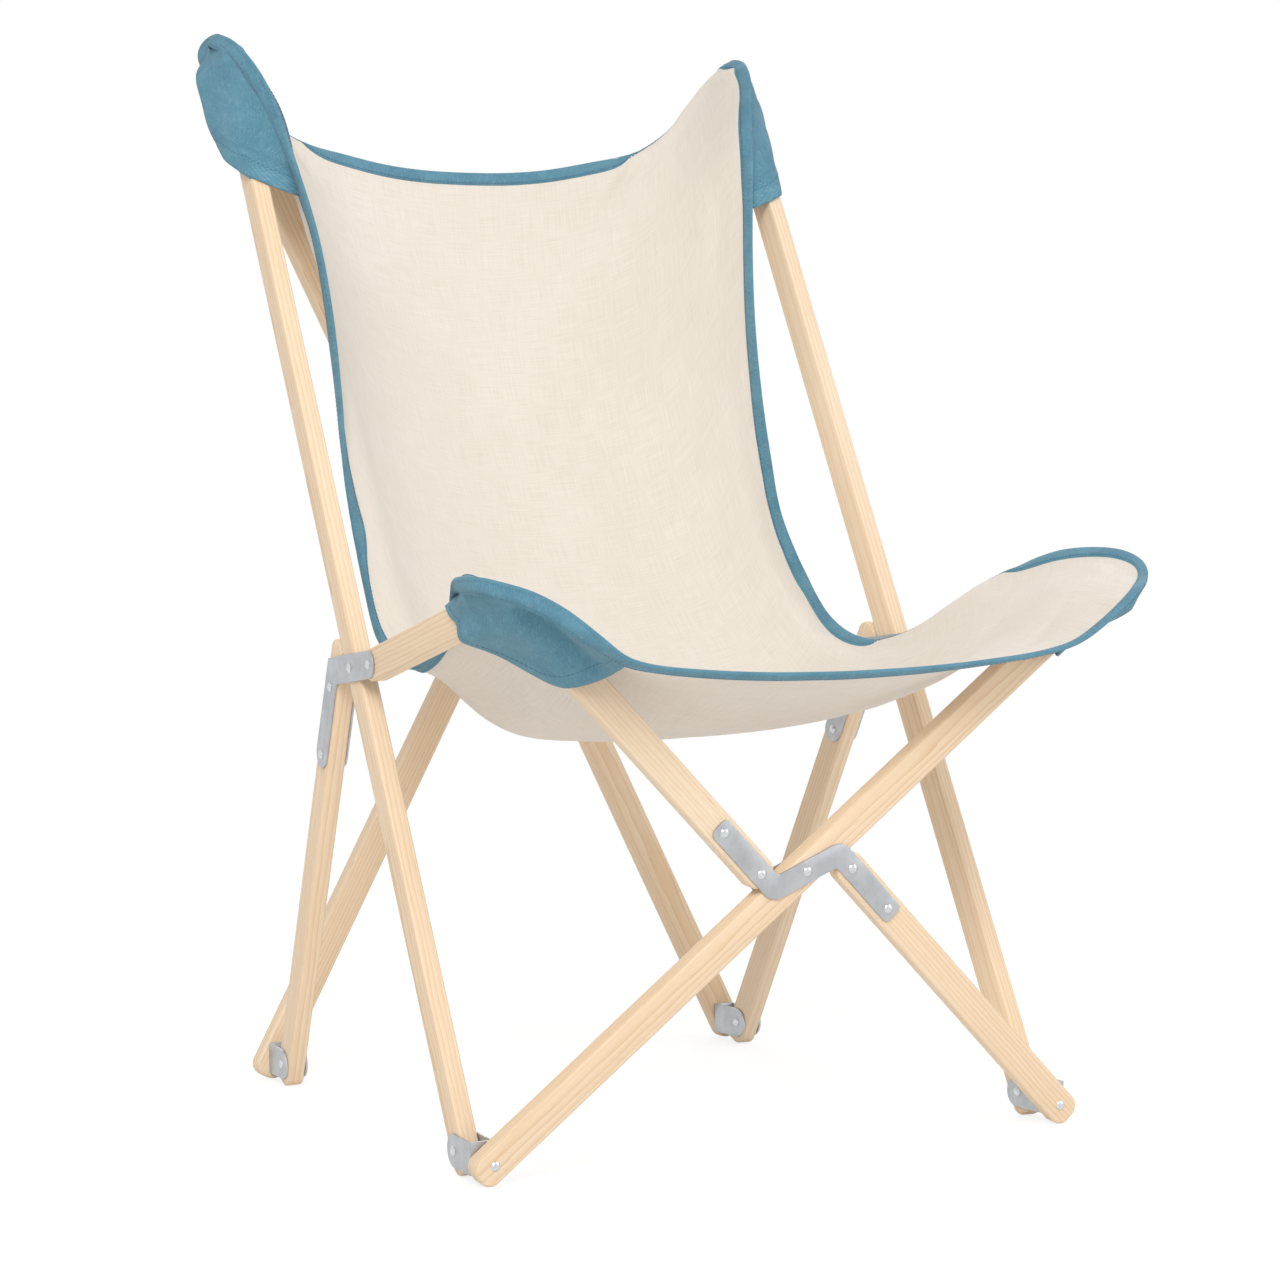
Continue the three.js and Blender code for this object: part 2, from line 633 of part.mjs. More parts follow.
// A closed sheet over a grid of places on the sling, its two faces moved out by the given rules
function sheet(rows, columns, place, outer, inner) {
  const positions = [];
  for (const face of [outer, inner]) {
    for (let i = 0; i <= rows; i += 1) {
      for (let j = 0; j <= columns; j += 1) {
        const [s, t] = place(j / columns, i / rows);
        const p = face(onSling(s, t), slingNormal(s, t));
        positions.push(p.x, p.y, p.z);
      }
    }
  }
  const layer = (rows + 1) * (columns + 1);
  const index = [];
  const quad = (a, b, c, d) => index.push(a, b, c, a, c, d);
  const top = (i, j) => i * (columns + 1) + j;
  const low = (i, j) => layer + top(i, j);
  for (let i = 0; i < rows; i += 1) {
    for (let j = 0; j < columns; j += 1) {
      quad(top(i, j), top(i, j + 1), top(i + 1, j + 1), top(i + 1, j));
      quad(low(i, j), low(i + 1, j), low(i + 1, j + 1), low(i, j + 1));
    }
  }
  for (let j = 0; j < columns; j += 1) {
    quad(top(0, j + 1), top(0, j), low(0, j), low(0, j + 1));
    quad(top(rows, j), top(rows, j + 1), low(rows, j + 1), low(rows, j));
  }
  for (let i = 0; i < rows; i += 1) {
    quad(top(i, 0), top(i + 1, 0), low(i + 1, 0), low(i, 0));
    quad(top(i + 1, columns), top(i, columns), low(i, columns), low(i + 1, columns));
  }
  const geometry = new THREE.BufferGeometry();
  geometry.setAttribute('position', new THREE.Float32BufferAttribute(positions, 3));
  geometry.setIndex(index);
  return geometry;
}

const squareTo = (distance) => (p, n) => p.addScaledVector(n, distance);
const evenSheet = (rows, columns, place, thickness) =>
  sheet(rows, columns, place, squareTo(thickness / 2), squareTo(-thickness / 2));
const largestOf = (solid) => solid.decompose().reduce((a, b) => (b.volume() > a.volume() ? b : a));

// Corner pocket: a cup sewn to the rim of a sling corner, closed around two bar ends, open where they leave it
const pockets = [];

function barCorners(name, depth, grow) {
  const { frame, end } = bars.get(name);
  const h = BAR_WIDTH / 2 + grow;
  const d = HALF + grow;
  const corners = [];
  for (const across of [-h, h]) {
    for (const out of [-d, d]) {
      corners.push(at(frame, end - depth, across, out));
      corners.push(at(frame, end - BAR_END_RADIUS * 0.8, across, out));
      corners.push(at(frame, end + grow, across * 0.45, out));
    }
  }
  return corners;
}

function pocket(row, side, sideBar, crossBar) {
  const back = row === 'back';
  const hand = side === 'left' ? -1 : 1;
  const depths = back ? [BACK_POCKET_DEPTH, BACK_POCKET_CROSS] : [SEAT_POCKET_DEPTH, SEAT_POCKET_CROSS];
  const end = back ? 0 : 1;
  const crossRim = back ? BACK_POCKET_RIM : FRONT_POCKET_RIM;
  const sideRim = back ? BACK_POCKET_SIDE : 1 - SEAT_POCKET_SIDE;
  const held = [sideBar, crossBar];
  const corners = held.flatMap((name, i) => barCorners(name, depths[i], POCKET_WALL));
  for (let k = 0; k <= POCKET_RIM_POINTS; k += 1) {
    const share = k / POCKET_RIM_POINTS;
    for (const [s, t] of [[mix(crossRim, 1, share), end], [1, mix(sideRim, end, share)]]) {
      corners.push(onSling(s * hand, t).addScaledVector(slingNormal(s * hand, t), POCKET_WALL));
    }
  }
  const inward = back ? vec(-0.85 * hand, -0.5, 0.1) : vec(-0.5 * hand, 0.1, 0.85);
  const ear = (a, b) => {
    const s = mix(EAR_START, 1, hand > 0 ? a : 1 - a);
    return [s * hand, back ? b * EAR_LENGTH : 1 - EAR_LENGTH + b * EAR_LENGTH];
  };
  const clear = squareTo(BINDING_THICKNESS / 2 + SLING_GAP);
  const within = (p) => p.addScaledVector(inward, EAR_REACH);
  let solid = solidOf(new ConvexGeometry(corners));
  solid = solid.subtract(solidOf(sheet(EAR_CELLS, EAR_CELLS, ear, clear, within)));
  for (const name of held) {
    const block = bars.get(name);
    solid = solid.subtract(solidOf(barBlock(block.start, block.end, POCKET_CLEARANCE).applyMatrix4(block.frame)));
  }
  solid = largestOf(solid);
  pockets.push(solid);
  add(`sling_pocket_${row}_${side}`, geometryOf(solid), denim());
}

pocket('back', 'left', 'left_long_bar', 'rear_upper_bar');
pocket('back', 'right', 'right_long_bar', 'rear_long_bar');
pocket('seat', 'left', 'left_arm_bar', 'front_upper_bar');
pocket('seat', 'right', 'right_arm_bar', 'front_long_bar');

const slingBars = [
  'left_long_bar', 'right_long_bar', 'left_arm_bar', 'right_arm_bar',
  'front_long_bar', 'front_upper_bar', 'rear_long_bar', 'rear_upper_bar',
];
const clearOfSling = slingBars.map((name) => {
  const { frame, start, end } = bars.get(name);
  return solidOf(barBlock(start, end, POCKET_CLEARANCE).applyMatrix4(frame));
});

const laidSheets = [];

function slingPiece(name, rows, columns, place, thickness, material) {
  let solid = solidOf(evenSheet(rows, columns, place, thickness));
  for (const other of [...pockets, ...clearOfSling, ...laidSheets]) solid = solid.subtract(other);
  laidSheets.push(solidOf(evenSheet(rows, columns, place, thickness + 2 * SLING_GAP)));
  add(name, geometryOf(largestOf(solid)), material);
}

// Rows and columns lie closer together towards the corners
const gathered = (k, share) => k - (share * Math.sin(2 * Math.PI * k)) / (2 * Math.PI);
const sideLength = rightLine.getLength();
const halfWidth = frontLine.getLength();
const bandT = BINDING_WIDTH / sideLength;
const gapT = SLING_GAP / sideLength;
const bandS = BINDING_WIDTH / halfWidth;
const gapS = SLING_GAP / halfWidth;
const rowPlace = (b) => mix(bandT, 1 - bandT, gathered(b, 0.55));
const columnPlace = (a) => (2 * gathered(a, 0.4) - 1) * (1 - bandS);

const canvasPlace = (a, b) => [columnPlace(a), rowPlace(b)];
const sidePlace = (hand) => (a, b) => {
  const s = mix(1 - bandS + gapS, 1, hand > 0 ? a : 1 - a);
  return [hand * s, rowPlace(b)];
};
const backPlace = (a, b) => [columnPlace(a), b * (bandT - gapT)];
const frontPlace = (a, b) => [columnPlace(a), mix(1 - bandT + gapT, 1, b)];

slingPiece('sling_canvas', SLING_ROWS, SLING_COLUMNS, canvasPlace, CANVAS_THICKNESS, canvas());
slingPiece('sling_binding_left', SLING_ROWS, 1, sidePlace(-1), BINDING_THICKNESS, denim());
slingPiece('sling_binding_right', SLING_ROWS, 1, sidePlace(1), BINDING_THICKNESS, denim());
slingPiece('sling_binding_back', 1, SLING_COLUMNS, backPlace, BINDING_THICKNESS, denim());
slingPiece('sling_binding_front', 1, SLING_COLUMNS, frontPlace, BINDING_THICKNESS, denim());

// The part stands on the floor, centred over its own outline
const box = new THREE.Box3();
for (const mesh of chair.children) {
  mesh.geometry.computeBoundingBox();
  box.union(mesh.geometry.boundingBox);
}
const centre = box.getCenter(vec(0, 0, 0));
for (const mesh of chair.children) {
  mesh.geometry.translate(-centre.x, -centre.y, -box.min.z);
}

export default chair;
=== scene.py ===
"""Folding butterfly chair: pale wooden bars, steel plates and rivets, and a cream canvas sling with blue
binding and corner pockets. Metres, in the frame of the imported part."""
import json
import math

import bmesh
import bpy
import numpy as np
from mathutils import Matrix, Vector, noise
from mathutils.bvhtree import BVHTree

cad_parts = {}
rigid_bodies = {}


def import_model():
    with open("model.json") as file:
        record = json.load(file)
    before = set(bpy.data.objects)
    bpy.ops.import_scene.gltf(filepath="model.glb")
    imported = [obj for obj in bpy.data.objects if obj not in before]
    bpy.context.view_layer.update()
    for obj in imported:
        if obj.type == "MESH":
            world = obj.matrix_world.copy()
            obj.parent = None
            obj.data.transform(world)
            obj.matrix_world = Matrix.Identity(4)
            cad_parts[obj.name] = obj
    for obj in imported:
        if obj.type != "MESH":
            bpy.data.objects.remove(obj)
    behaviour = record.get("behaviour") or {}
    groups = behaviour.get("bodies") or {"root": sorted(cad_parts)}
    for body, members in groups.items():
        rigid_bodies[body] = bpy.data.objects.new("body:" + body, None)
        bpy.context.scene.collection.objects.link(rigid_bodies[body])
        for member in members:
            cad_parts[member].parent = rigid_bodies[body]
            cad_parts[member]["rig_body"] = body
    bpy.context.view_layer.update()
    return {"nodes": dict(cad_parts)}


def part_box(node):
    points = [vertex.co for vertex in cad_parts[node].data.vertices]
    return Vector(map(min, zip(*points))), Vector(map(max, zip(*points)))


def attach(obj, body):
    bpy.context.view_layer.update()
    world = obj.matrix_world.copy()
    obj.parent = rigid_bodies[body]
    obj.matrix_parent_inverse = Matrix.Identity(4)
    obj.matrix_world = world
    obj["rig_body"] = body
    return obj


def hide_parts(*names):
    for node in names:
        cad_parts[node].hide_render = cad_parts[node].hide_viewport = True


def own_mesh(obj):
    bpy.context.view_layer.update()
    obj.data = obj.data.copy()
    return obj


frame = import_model()
nodes = frame["nodes"]

# The sling's lines are drawn on the chair's own plan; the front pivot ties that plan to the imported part.
PIVOT_ON_PLAN = Vector((0.004, -0.074805, 0.261379))
pivot_low, pivot_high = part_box("front_rivet_pivot")
PLAN_SHIFT = (pivot_low + pivot_high) / 2 - PIVOT_ON_PLAN

BAR_WIDTH = 0.030
BAR_THICKNESS = 0.018
BAR_END_RADIUS = 0.012
BAR_EDGE = 0.0028
CANVAS_THICKNESS = 0.0016


def colour(red, green, blue):
    """A screen colour, 0 to 255, as the linear colour that shaders use."""
    linear = []
    for value in (red, green, blue):
        v = value / 255
        linear.append(v / 12.92 if v <= 0.04045 else ((v + 0.055) / 1.055) ** 2.4)
    return (*linear, 1.0)


# Camera, light, floor

def set_camera():
    data = bpy.data.cameras.new("photo_camera")
    data.sensor_width = 36.0
    data.lens = 104.96
    camera = bpy.data.objects.new("photo_camera", data)
    camera.location = Vector((-1.7163, -2.9447, 0.6805)) + PLAN_SHIFT
    camera.rotation_euler = (math.radians(86.368), 0.0, math.radians(-28.449))
    bpy.context.scene.collection.objects.link(camera)
    bpy.context.scene.camera = camera


def seen_directly(tree):
    """1 for rays from the camera and for what metal and glass show, 0 for light on the object."""
    path = tree.nodes.new("ShaderNodeLightPath")
    first = tree.nodes.new("ShaderNodeMath")
    first.operation = "MAXIMUM"
    second = tree.nodes.new("ShaderNodeMath")
    second.operation = "MAXIMUM"
    tree.links.new(path.outputs["Is Camera Ray"], first.inputs[0])
    tree.links.new(path.outputs["Is Glossy Ray"], first.inputs[1])
    tree.links.new(first.outputs[0], second.inputs[0])
    tree.links.new(path.outputs["Is Transmission Ray"], second.inputs[1])
    return second.outputs[0]


def set_world():
    world = bpy.data.worlds.new("studio")
    world.use_nodes = True
    tree = world.node_tree
    tree.nodes.clear()
    light = tree.nodes.new("ShaderNodeBackground")
    light.inputs["Color"].default_value = (1.0, 0.985, 0.965, 1)
    light.inputs["Strength"].default_value = 0.52
    white = tree.nodes.new("ShaderNodeBackground")
    white.inputs["Color"].default_value = (1, 1, 1, 1)
    white.inputs["Strength"].default_value = 1.0
    mix = tree.nodes.new("ShaderNodeMixShader")
    out = tree.nodes.new("ShaderNodeOutputWorld")
    tree.links.new(seen_directly(tree), mix.inputs["Fac"])
    tree.links.new(light.outputs[0], mix.inputs[1])
    tree.links.new(white.outputs[0], mix.inputs[2])
    tree.links.new(mix.outputs[0], out.inputs["Surface"])
    bpy.context.scene.world = world


def set_lamp(name, place, aim, size, power, tint):
    data = bpy.data.lights.new(name, "AREA")
    data.shape = "DISK"
    data.size = size
    data.energy = power
    data.color = tint
    lamp = bpy.data.objects.new(name, data)
    lamp.location = place
    lamp.rotation_euler = (Vector(aim) - Vector(place)).to_track_quat("-Z", "Y").to_euler()
    bpy.context.scene.collection.objects.link(lamp)


def set_floor():
    bpy.ops.object.select_all(action="DESELECT")
    bpy.ops.mesh.primitive_plane_add(size=24, location=(0, 0, -0.0004))
    floor = bpy.context.object
    floor.name = "floor"
    material = bpy.data.materials.new("pale_floor")
    material.use_nodes = True
    tree = material.node_tree
    tree.nodes.clear()
    plain = tree.nodes.new("ShaderNodeBsdfDiffuse")
    plain.inputs["Color"].default_value = (0.88, 0.87, 0.86, 1)
    shaded = tree.nodes.new("ShaderNodeBsdfDiffuse")
    shaded.inputs["Color"].default_value = (0.26, 0.26, 0.26, 1)
    bright = tree.nodes.new("ShaderNodeEmission")
    bright.inputs["Color"].default_value = (1, 1, 1, 1)
    bright.inputs["Strength"].default_value = 0.80
    both = tree.nodes.new("ShaderNodeAddShader")
    place = tree.nodes.new("ShaderNodeTexCoord")
    away = tree.nodes.new("ShaderNodeVectorMath")
    away.operation = "LENGTH"
    reach = tree.nodes.new("ShaderNodeMapRange")
    reach.interpolation_type = "SMOOTHSTEP"
    reach.inputs["From Min"].default_value = 0.9
    reach.inputs["From Max"].default_value = 2.4
    white = tree.nodes.new("ShaderNodeEmission")
    white.inputs["Color"].default_value = (1, 1, 1, 1)
    seen = tree.nodes.new("ShaderNodeMixShader")
    mix = tree.nodes.new("ShaderNodeMixShader")
    out = tree.nodes.new("ShaderNodeOutputMaterial")
    tree.links.new(shaded.outputs[0], both.inputs[0])
    tree.links.new(bright.outputs[0], both.inputs[1])
    tree.links.new(seen_directly(tree), mix.inputs["Fac"])
    tree.links.new(plain.outputs[0], mix.inputs[1])
    tree.links.new(place.outputs["Object"], away.inputs[0])
    tree.links.new(away.outputs["Value"], reach.inputs["Value"])
    tree.links.new(reach.outputs["Result"], seen.inputs["Fac"])
    tree.links.new(both.outputs[0], seen.inputs[1])
    tree.links.new(white.outputs[0], seen.inputs[2])
    tree.links.new(seen.outputs[0], mix.inputs[2])
    tree.links.new(mix.outputs[0], out.inputs["Surface"])
    floor.data.materials.append(material)


set_camera()
set_world()
set_lamp("key_light", (-2.6, -3.4, 3.4), (0, 0, 0.5), 2.6, 150, (1.0, 0.97, 0.93))
set_lamp("fill_light", (3.2, -2.6, 2.2), (0, 0, 0.5), 2.8, 46, (0.95, 0.975, 1.0))
set_lamp("back_light", (1.4, 3.2, 3.0), (0, 0, 0.6), 2.4, 50, (1.0, 0.99, 0.97))
set_floor()
bpy.context.scene.view_settings.view_transform = "Standard"


# Materials

class Shade:
    """Short words for wiring one material's nodes."""

    def __init__(self, name):
        self.material = bpy.data.materials.new(name)
        self.material.use_nodes = True
        self.tree = self.material.node_tree
        self.tree.nodes.clear()
        self.surface = self.add("ShaderNodeBsdfPrincipled")
        out = self.add("ShaderNodeOutputMaterial")
        self.join(self.surface.outputs[0], out.inputs["Surface"])

    def add(self, kind, **settings):
        node = self.tree.nodes.new(kind)
        for key, value in settings.items():
            setattr(node, key, value)
        return node

    def join(self, start, end):
        self.tree.links.new(start, end)

    def mapped(self, source, scale, rotation=(0, 0, 0), location=(0, 0, 0)):
        mapping = self.add("ShaderNodeMapping")
        mapping.inputs["Scale"].default_value = scale
        mapping.inputs["Rotation"].default_value = rotation
        mapping.inputs["Location"].default_value = location
        self.join(source, mapping.inputs["Vector"])
        return mapping.outputs[0]

    def noise(self, place, scale, detail=4, rough=0.55):
        texture = self.add("ShaderNodeTexNoise")
        texture.inputs["Scale"].default_value = scale
        texture.inputs["Detail"].default_value = detail
        texture.inputs["Roughness"].default_value = rough
        self.join(place, texture.inputs["Vector"])
        return texture.outputs["Fac"]

    def wave(self, place, scale, kind, direction, profile, warp, detail, warp_scale):
        texture = self.add("ShaderNodeTexWave", wave_type=kind, wave_profile=profile)
        if kind == "BANDS":
            texture.bands_direction = direction
        else:
            texture.rings_direction = direction
        texture.inputs["Scale"].default_value = scale
        texture.inputs["Distortion"].default_value = warp
        texture.inputs["Detail"].default_value = detail
        texture.inputs["Detail Scale"].default_value = warp_scale
        self.join(place, texture.inputs["Vector"])
        return texture.outputs["Fac"]

    def ramp(self, value, *stops):
        ramp = self.add("ShaderNodeValToRGB")
        while len(ramp.color_ramp.elements) < len(stops):
            ramp.color_ramp.elements.new(0.5)
        for element, (place, tint) in zip(ramp.color_ramp.elements, stops):
            element.position = place
            element.color = tint
        self.join(value, ramp.inputs["Fac"])
        return ramp.outputs["Color"]

    def span(self, value, low, high, start=0.0, end=1.0):
        rescale = self.add("ShaderNodeMapRange")
        rescale.inputs["From Min"].default_value = start
        rescale.inputs["From Max"].default_value = end
        rescale.inputs["To Min"].default_value = low
        rescale.inputs["To Max"].default_value = high
        self.join(value, rescale.inputs["Value"])
        return rescale.outputs["Result"]

    def blend(self, share, first, second):
        mix = self.add("ShaderNodeMix", data_type="RGBA")
        for slot, value in ((0, share), (6, first), (7, second)):
            if isinstance(value, (int, float, tuple)):
                mix.inputs[slot].default_value = value
            else:
                self.join(value, mix.inputs[slot])
        return mix.outputs[2]

    def sum(self, first, second, operation="ADD"):
        node = self.add("ShaderNodeMath", operation=operation)
        for slot, value in enumerate((first, second)):
            if isinstance(value, (int, float)):
                node.inputs[slot].default_value = value
            else:
                self.join(value, node.inputs[slot])
        return node.outputs[0]

    def relief(self, height, distance, strength):
        bump = self.add("ShaderNodeBump")
        bump.inputs["Strength"].default_value = strength
        bump.inputs["Distance"].default_value = distance
        self.join(height, bump.inputs["Height"])
        self.join(bump.outputs[0], self.surface.inputs["Normal"])

    def paint(self, tint):
        self.join(tint, self.surface.inputs["Base Color"])

    def roughness(self, value):
        self.join(value, self.surface.inputs["Roughness"])


def pale_wood():
    """Planed pale softwood: growth rings seen as long lines, fine fibres and short pores along the bar."""
    shade = Shade("pale_wood")
    place = shade.add("ShaderNodeAttribute", attribute_name="grain").outputs["Vector"]
    wander = shade.noise(shade.mapped(place, (2.2, 9, 9)), 1.0, 2)
    rings = shade.wave(shade.mapped(place, (0.10, 1.0, 1.0)), 84, "RINGS", "X", "SAW", 4.0, 3, 1.2)
    early = shade.ramp(
        rings,
        (0.0, colour(239, 218, 191)),
        (0.55, colour(236, 212, 182)),
        (0.86, colour(228, 199, 163)),
        (1.0, colour(219, 185, 145)),
    )
    fibres = shade.noise(shade.mapped(place, (7, 420, 420)), 1.0, 5, 0.6)
    fibred = shade.blend(shade.span(fibres, 0.0, 0.5, 0.35, 0.75), early, colour(225, 193, 156))
    cloudy = shade.blend(shade.span(wander, 0.0, 0.42, 0.35, 0.75), fibred, colour(243, 228, 207))
    pores = shade.noise(shade.mapped(place, (38, 900, 900), location=(3, 1, 7)), 1.0, 2)
    marked = shade.blend(shade.span(pores, 0.0, 0.45, 0.66, 0.78), cloudy, colour(196, 154, 106))
    shade.paint(marked)
    shade.roughness(shade.span(fibres, 0.44, 0.62))
    shade.surface.inputs["Specular IOR Level"].default_value = 0.38
    height = shade.sum(shade.sum(fibres, 0.6, "MULTIPLY"), shade.sum(rings, -0.35, "MULTIPLY"))
    shade.relief(height, 0.00025, 0.6)
    return shade.material


def zinc_steel():
    """Zinc-plated pressed steel: dull light grey with faint rolling lines and a cloudy plating."""
    shade = Shade("zinc_steel")
    place = shade.add("ShaderNodeTexCoord").outputs["Object"]
    clouds = shade.noise(place, 55, 4, 0.6)
    lines = shade.noise(shade.mapped(place, (900, 900, 60)), 1.0, 3)
    base = shade.ramp(clouds, (0.3, colour(176, 180, 184)), (0.7, colour(203, 206, 209)))
    shade.paint(shade.blend(shade.span(lines, 0.0, 0.35), base, colour(160, 165, 170)))
    shade.surface.inputs["Metallic"].default_value = 0.85
    shade.roughness(shade.sum(shade.span(clouds, 0.34, 0.5), shade.span(lines, -0.04, 0.06)))
    shade.relief(shade.sum(clouds, lines), 0.00006, 0.5)
    return shade.material


def bright_rivet():
    shade = Shade("bright_rivet")
    place = shade.add("ShaderNodeTexCoord").outputs["Object"]
    marks = shade.noise(place, 420, 3, 0.6)
    shade.paint(shade.ramp(marks, (0.3, colour(196, 199, 203)), (0.75, colour(226, 228, 231))))
    shade.surface.inputs["Metallic"].default_value = 1.0
    shade.roughness(shade.span(marks, 0.2, 0.34))
    shade.relief(marks, 0.00008, 0.5)
    return shade.material


def cream_canvas():
    """Natural cotton canvas: plain weave with slubs, a little darker between the threads."""
    shade = Shade("cream_canvas")
    place = shade.add("ShaderNodeUVMap", uv_map="cloth").outputs[0]
    warp = shade.wave(place, 280, "BANDS", "X", "SIN", 0.6, 1, 0.4)
    weft = shade.wave(place, 280, "BANDS", "Y", "SIN", 0.6, 1, 0.4)
    weave = shade.sum(warp, weft, "MULTIPLY")
    slub_along = shade.noise(shade.mapped(place, (900, 26, 1)), 1.0, 3, 0.6)
    slub_across = shade.noise(shade.mapped(place, (26, 900, 1)), 1.0, 3, 0.6)
    slubs = shade.sum(slub_along, slub_across)
    clouds = shade.noise(place, 7, 3)
    base = shade.ramp(clouds, (0.3, colour(232, 226, 218)), (0.7, colour(238, 233, 226)))
    threads = shade.blend(shade.span(slubs, 0.0, 0.55, 0.85, 1.3), base, colour(214, 204, 190))
    shade.paint(shade.blend(shade.span(weave, 0.16, 0.0), threads, colour(198, 188, 172)))
    shade.surface.inputs["Roughness"].default_value = 0.88
    shade.surface.inputs["Specular IOR Level"].default_value = 0.2
    shade.surface.inputs["Sheen Weight"].default_value = 0.12
    shade.surface.inputs["Sheen Roughness"].default_value = 0.6
    shade.relief(shade.sum(weave, shade.sum(slubs, 0.5, "MULTIPLY")), 0.0003, 0.45)
    return shade.material


def blue_twill():
    """Washed blue twill: fine diagonal ribs and pale and dark threads side by side."""
    shade = Shade("blue_twill")
    place = shade.add("ShaderNodeUVMap", uv_map="cloth").outputs[0]
    slanted = shade.mapped(place, (1, 1, 1), (0, 0, math.radians(58)))
    ribs = shade.wave(slanted, 230, "BANDS", "X", "SIN", 0.8, 1, 0.5)
    pale = shade.noise(shade.mapped(place, (1200, 130, 1)), 1.0, 3, 0.65)
    dark = shade.noise(shade.mapped(place, (130, 1200, 1), location=(4, 9, 0)), 1.0, 3, 0.65)
    wash = shade.noise(place, 34, 4, 0.6)
    base = shade.ramp(wash, (0.3, colour(84, 134, 157)), (0.72, colour(104, 155, 176)))
    lighter = shade.blend(shade.span(pale, 0.0, 0.6, 0.5, 0.75), base, colour(146, 188, 202))
    deeper = shade.blend(shade.span(dark, 0.0, 0.6, 0.52, 0.78), lighter, colour(58, 104, 130))
    shade.paint(shade.blend(shade.span(ribs, 0.22, 0.0), deeper, colour(54, 96, 120)))
    shade.surface.inputs["Roughness"].default_value = 0.86
    shade.surface.inputs["Specular IOR Level"].default_value = 0.2
    shade.surface.inputs["Sheen Weight"].default_value = 0.15
    shade.surface.inputs["Sheen Roughness"].default_value = 0.55
    shade.relief(shade.sum(ribs, shade.sum(pale, dark)), 0.00035, 0.5)
    return shade.material


def sewing_thread():
    shade = Shade("sewing_thread")
    place = shade.add("ShaderNodeTexCoord").outputs["Object"]
    twist = shade.noise(place, 1800, 2)
    shade.paint(shade.ramp(twist, (0.3, colour(48, 92, 118)), (0.7, colour(72, 124, 150))))
    shade.surface.inputs["Roughness"].default_value = 0.7
    shade.relief(twist, 0.0001, 0.4)
    return shade.material


WOOD = pale_wood()
STEEL = zinc_steel()
RIVET = bright_rivet()
CANVAS = cream_canvas()
TWILL = blue_twill()
THREAD = sewing_thread()


# Bars, plates, brackets, rivets

def deselect():
    if bpy.context.object and bpy.context.object.mode != "OBJECT":
        bpy.ops.object.mode_set(mode="OBJECT")
    bpy.ops.object.select_all(action="DESELECT")


def pick(piece):
    deselect()
    piece.select_set(True)
    bpy.context.view_layer.objects.active = piece


def apply_all(piece):
    pick(piece)
    for modifier in list(piece.modifiers):
        bpy.ops.object.modifier_apply(modifier=modifier.name)


def bevel_edges(piece, name, width, segments, sharper_than):
    """A bevel along the edges that turn by more than an angle in degrees."""
    bevel = piece.modifiers.new(name, "BEVEL")
    bevel.width = width
    bevel.segments = segments
    bevel.limit_method = "ANGLE"
    bevel.angle_limit = math.radians(sharper_than)
    apply_all(piece)


def points_of(name):
    return np.array([v.co for v in nodes[name].data.vertices], float)


def face_way(name):
    """The way that the broad faces of a solid look: the direction with most area across it."""
    area = {}
    for polygon in nodes[name].data.polygons:
        way = np.array(polygon.normal, float)
        way = way * (1 if way[np.abs(way).argmax()] > 0 else -1)
        key = tuple(np.round(way, 2))
        total, lean = area.get(key, (0.0, 0.0))
        area[key] = (total + polygon.area, lean + polygon.area * way)
    total, lean = max(area.values(), key=lambda entry: entry[0])
    return lean / np.linalg.norm(lean)


def bar_frame(name):
    """Middle, directions (along, across, out) and half sizes of a bar, from its solid."""
    points = points_of(name)
    middle = points.mean(0)
    out = face_way(name)
    along = np.linalg.svd(points - middle, full_matrices=False)[2][0]
    along = along - out * (along @ out)
    along = along / np.linalg.norm(along) * (1 if along[2] > 0 else -1)
    axes = np.stack([along, np.cross(out, along), out])
    local = (points - middle) @ axes.T
    low, high = local.min(0), local.max(0)
    return middle + ((low + high) / 2) @ axes, axes, (high - low) / 2


def finish_piece(piece, node_names, body, material):
    piece.data.materials.clear()
    piece.data.materials.append(material)
    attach(piece, body)
    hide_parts(*node_names)


def make_bar(name, number):
    middle, axes, half = bar_frame(name)
    deselect()
    bpy.ops.mesh.primitive_cube_add(size=1)
    bar = bpy.context.object
    bar.name = f"{name}_timber"
    bpy.ops.object.mode_set(mode="EDIT")
    bpy.ops.transform.resize(value=(2 * half[0], BAR_WIDTH, BAR_THICKNESS))
    bpy.ops.mesh.select_mode(type="EDGE")
    bpy.ops.mesh.select_all(action="DESELECT")
    mesh = bmesh.from_edit_mesh(bar.data)
    for edge in mesh.edges:
        heading = (edge.verts[1].co - edge.verts[0].co).normalized()
        edge.select = abs(heading.z) > 0.9
    bmesh.update_edit_mesh(bar.data)
    bpy.ops.mesh.bevel(offset=BAR_END_RADIUS, segments=9, affect="EDGES")
    bpy.ops.object.mode_set(mode="OBJECT")
    bevel_edges(bar, "eased_edges", BAR_EDGE, 4, 50)
    # Each bar is sawn from its own place in the board, so that no two show the same grain
    offset = Vector((
        0.37 * number,
        0.013 + 0.017 * math.sin(2.4 * number),
        0.021 + 0.012 * math.cos(1.7 * number),
    ))
    grain = bar.data.attributes.new("grain", "FLOAT_VECTOR", "POINT")
    for vertex, value in zip(bar.data.vertices, grain.data):
        value.vector = vertex.co + offset
    bar.matrix_world = Matrix.Translation(middle) @ Matrix(axes.T.tolist()).to_4x4()
    bpy.ops.object.transform_apply(location=True, rotation=True, scale=True)
    bpy.ops.object.shade_smooth_by_angle(angle=math.radians(40))
    finish_piece(bar, [name], nodes[name]["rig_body"], WOOD)


PRESSING_EDGE = 0.0005


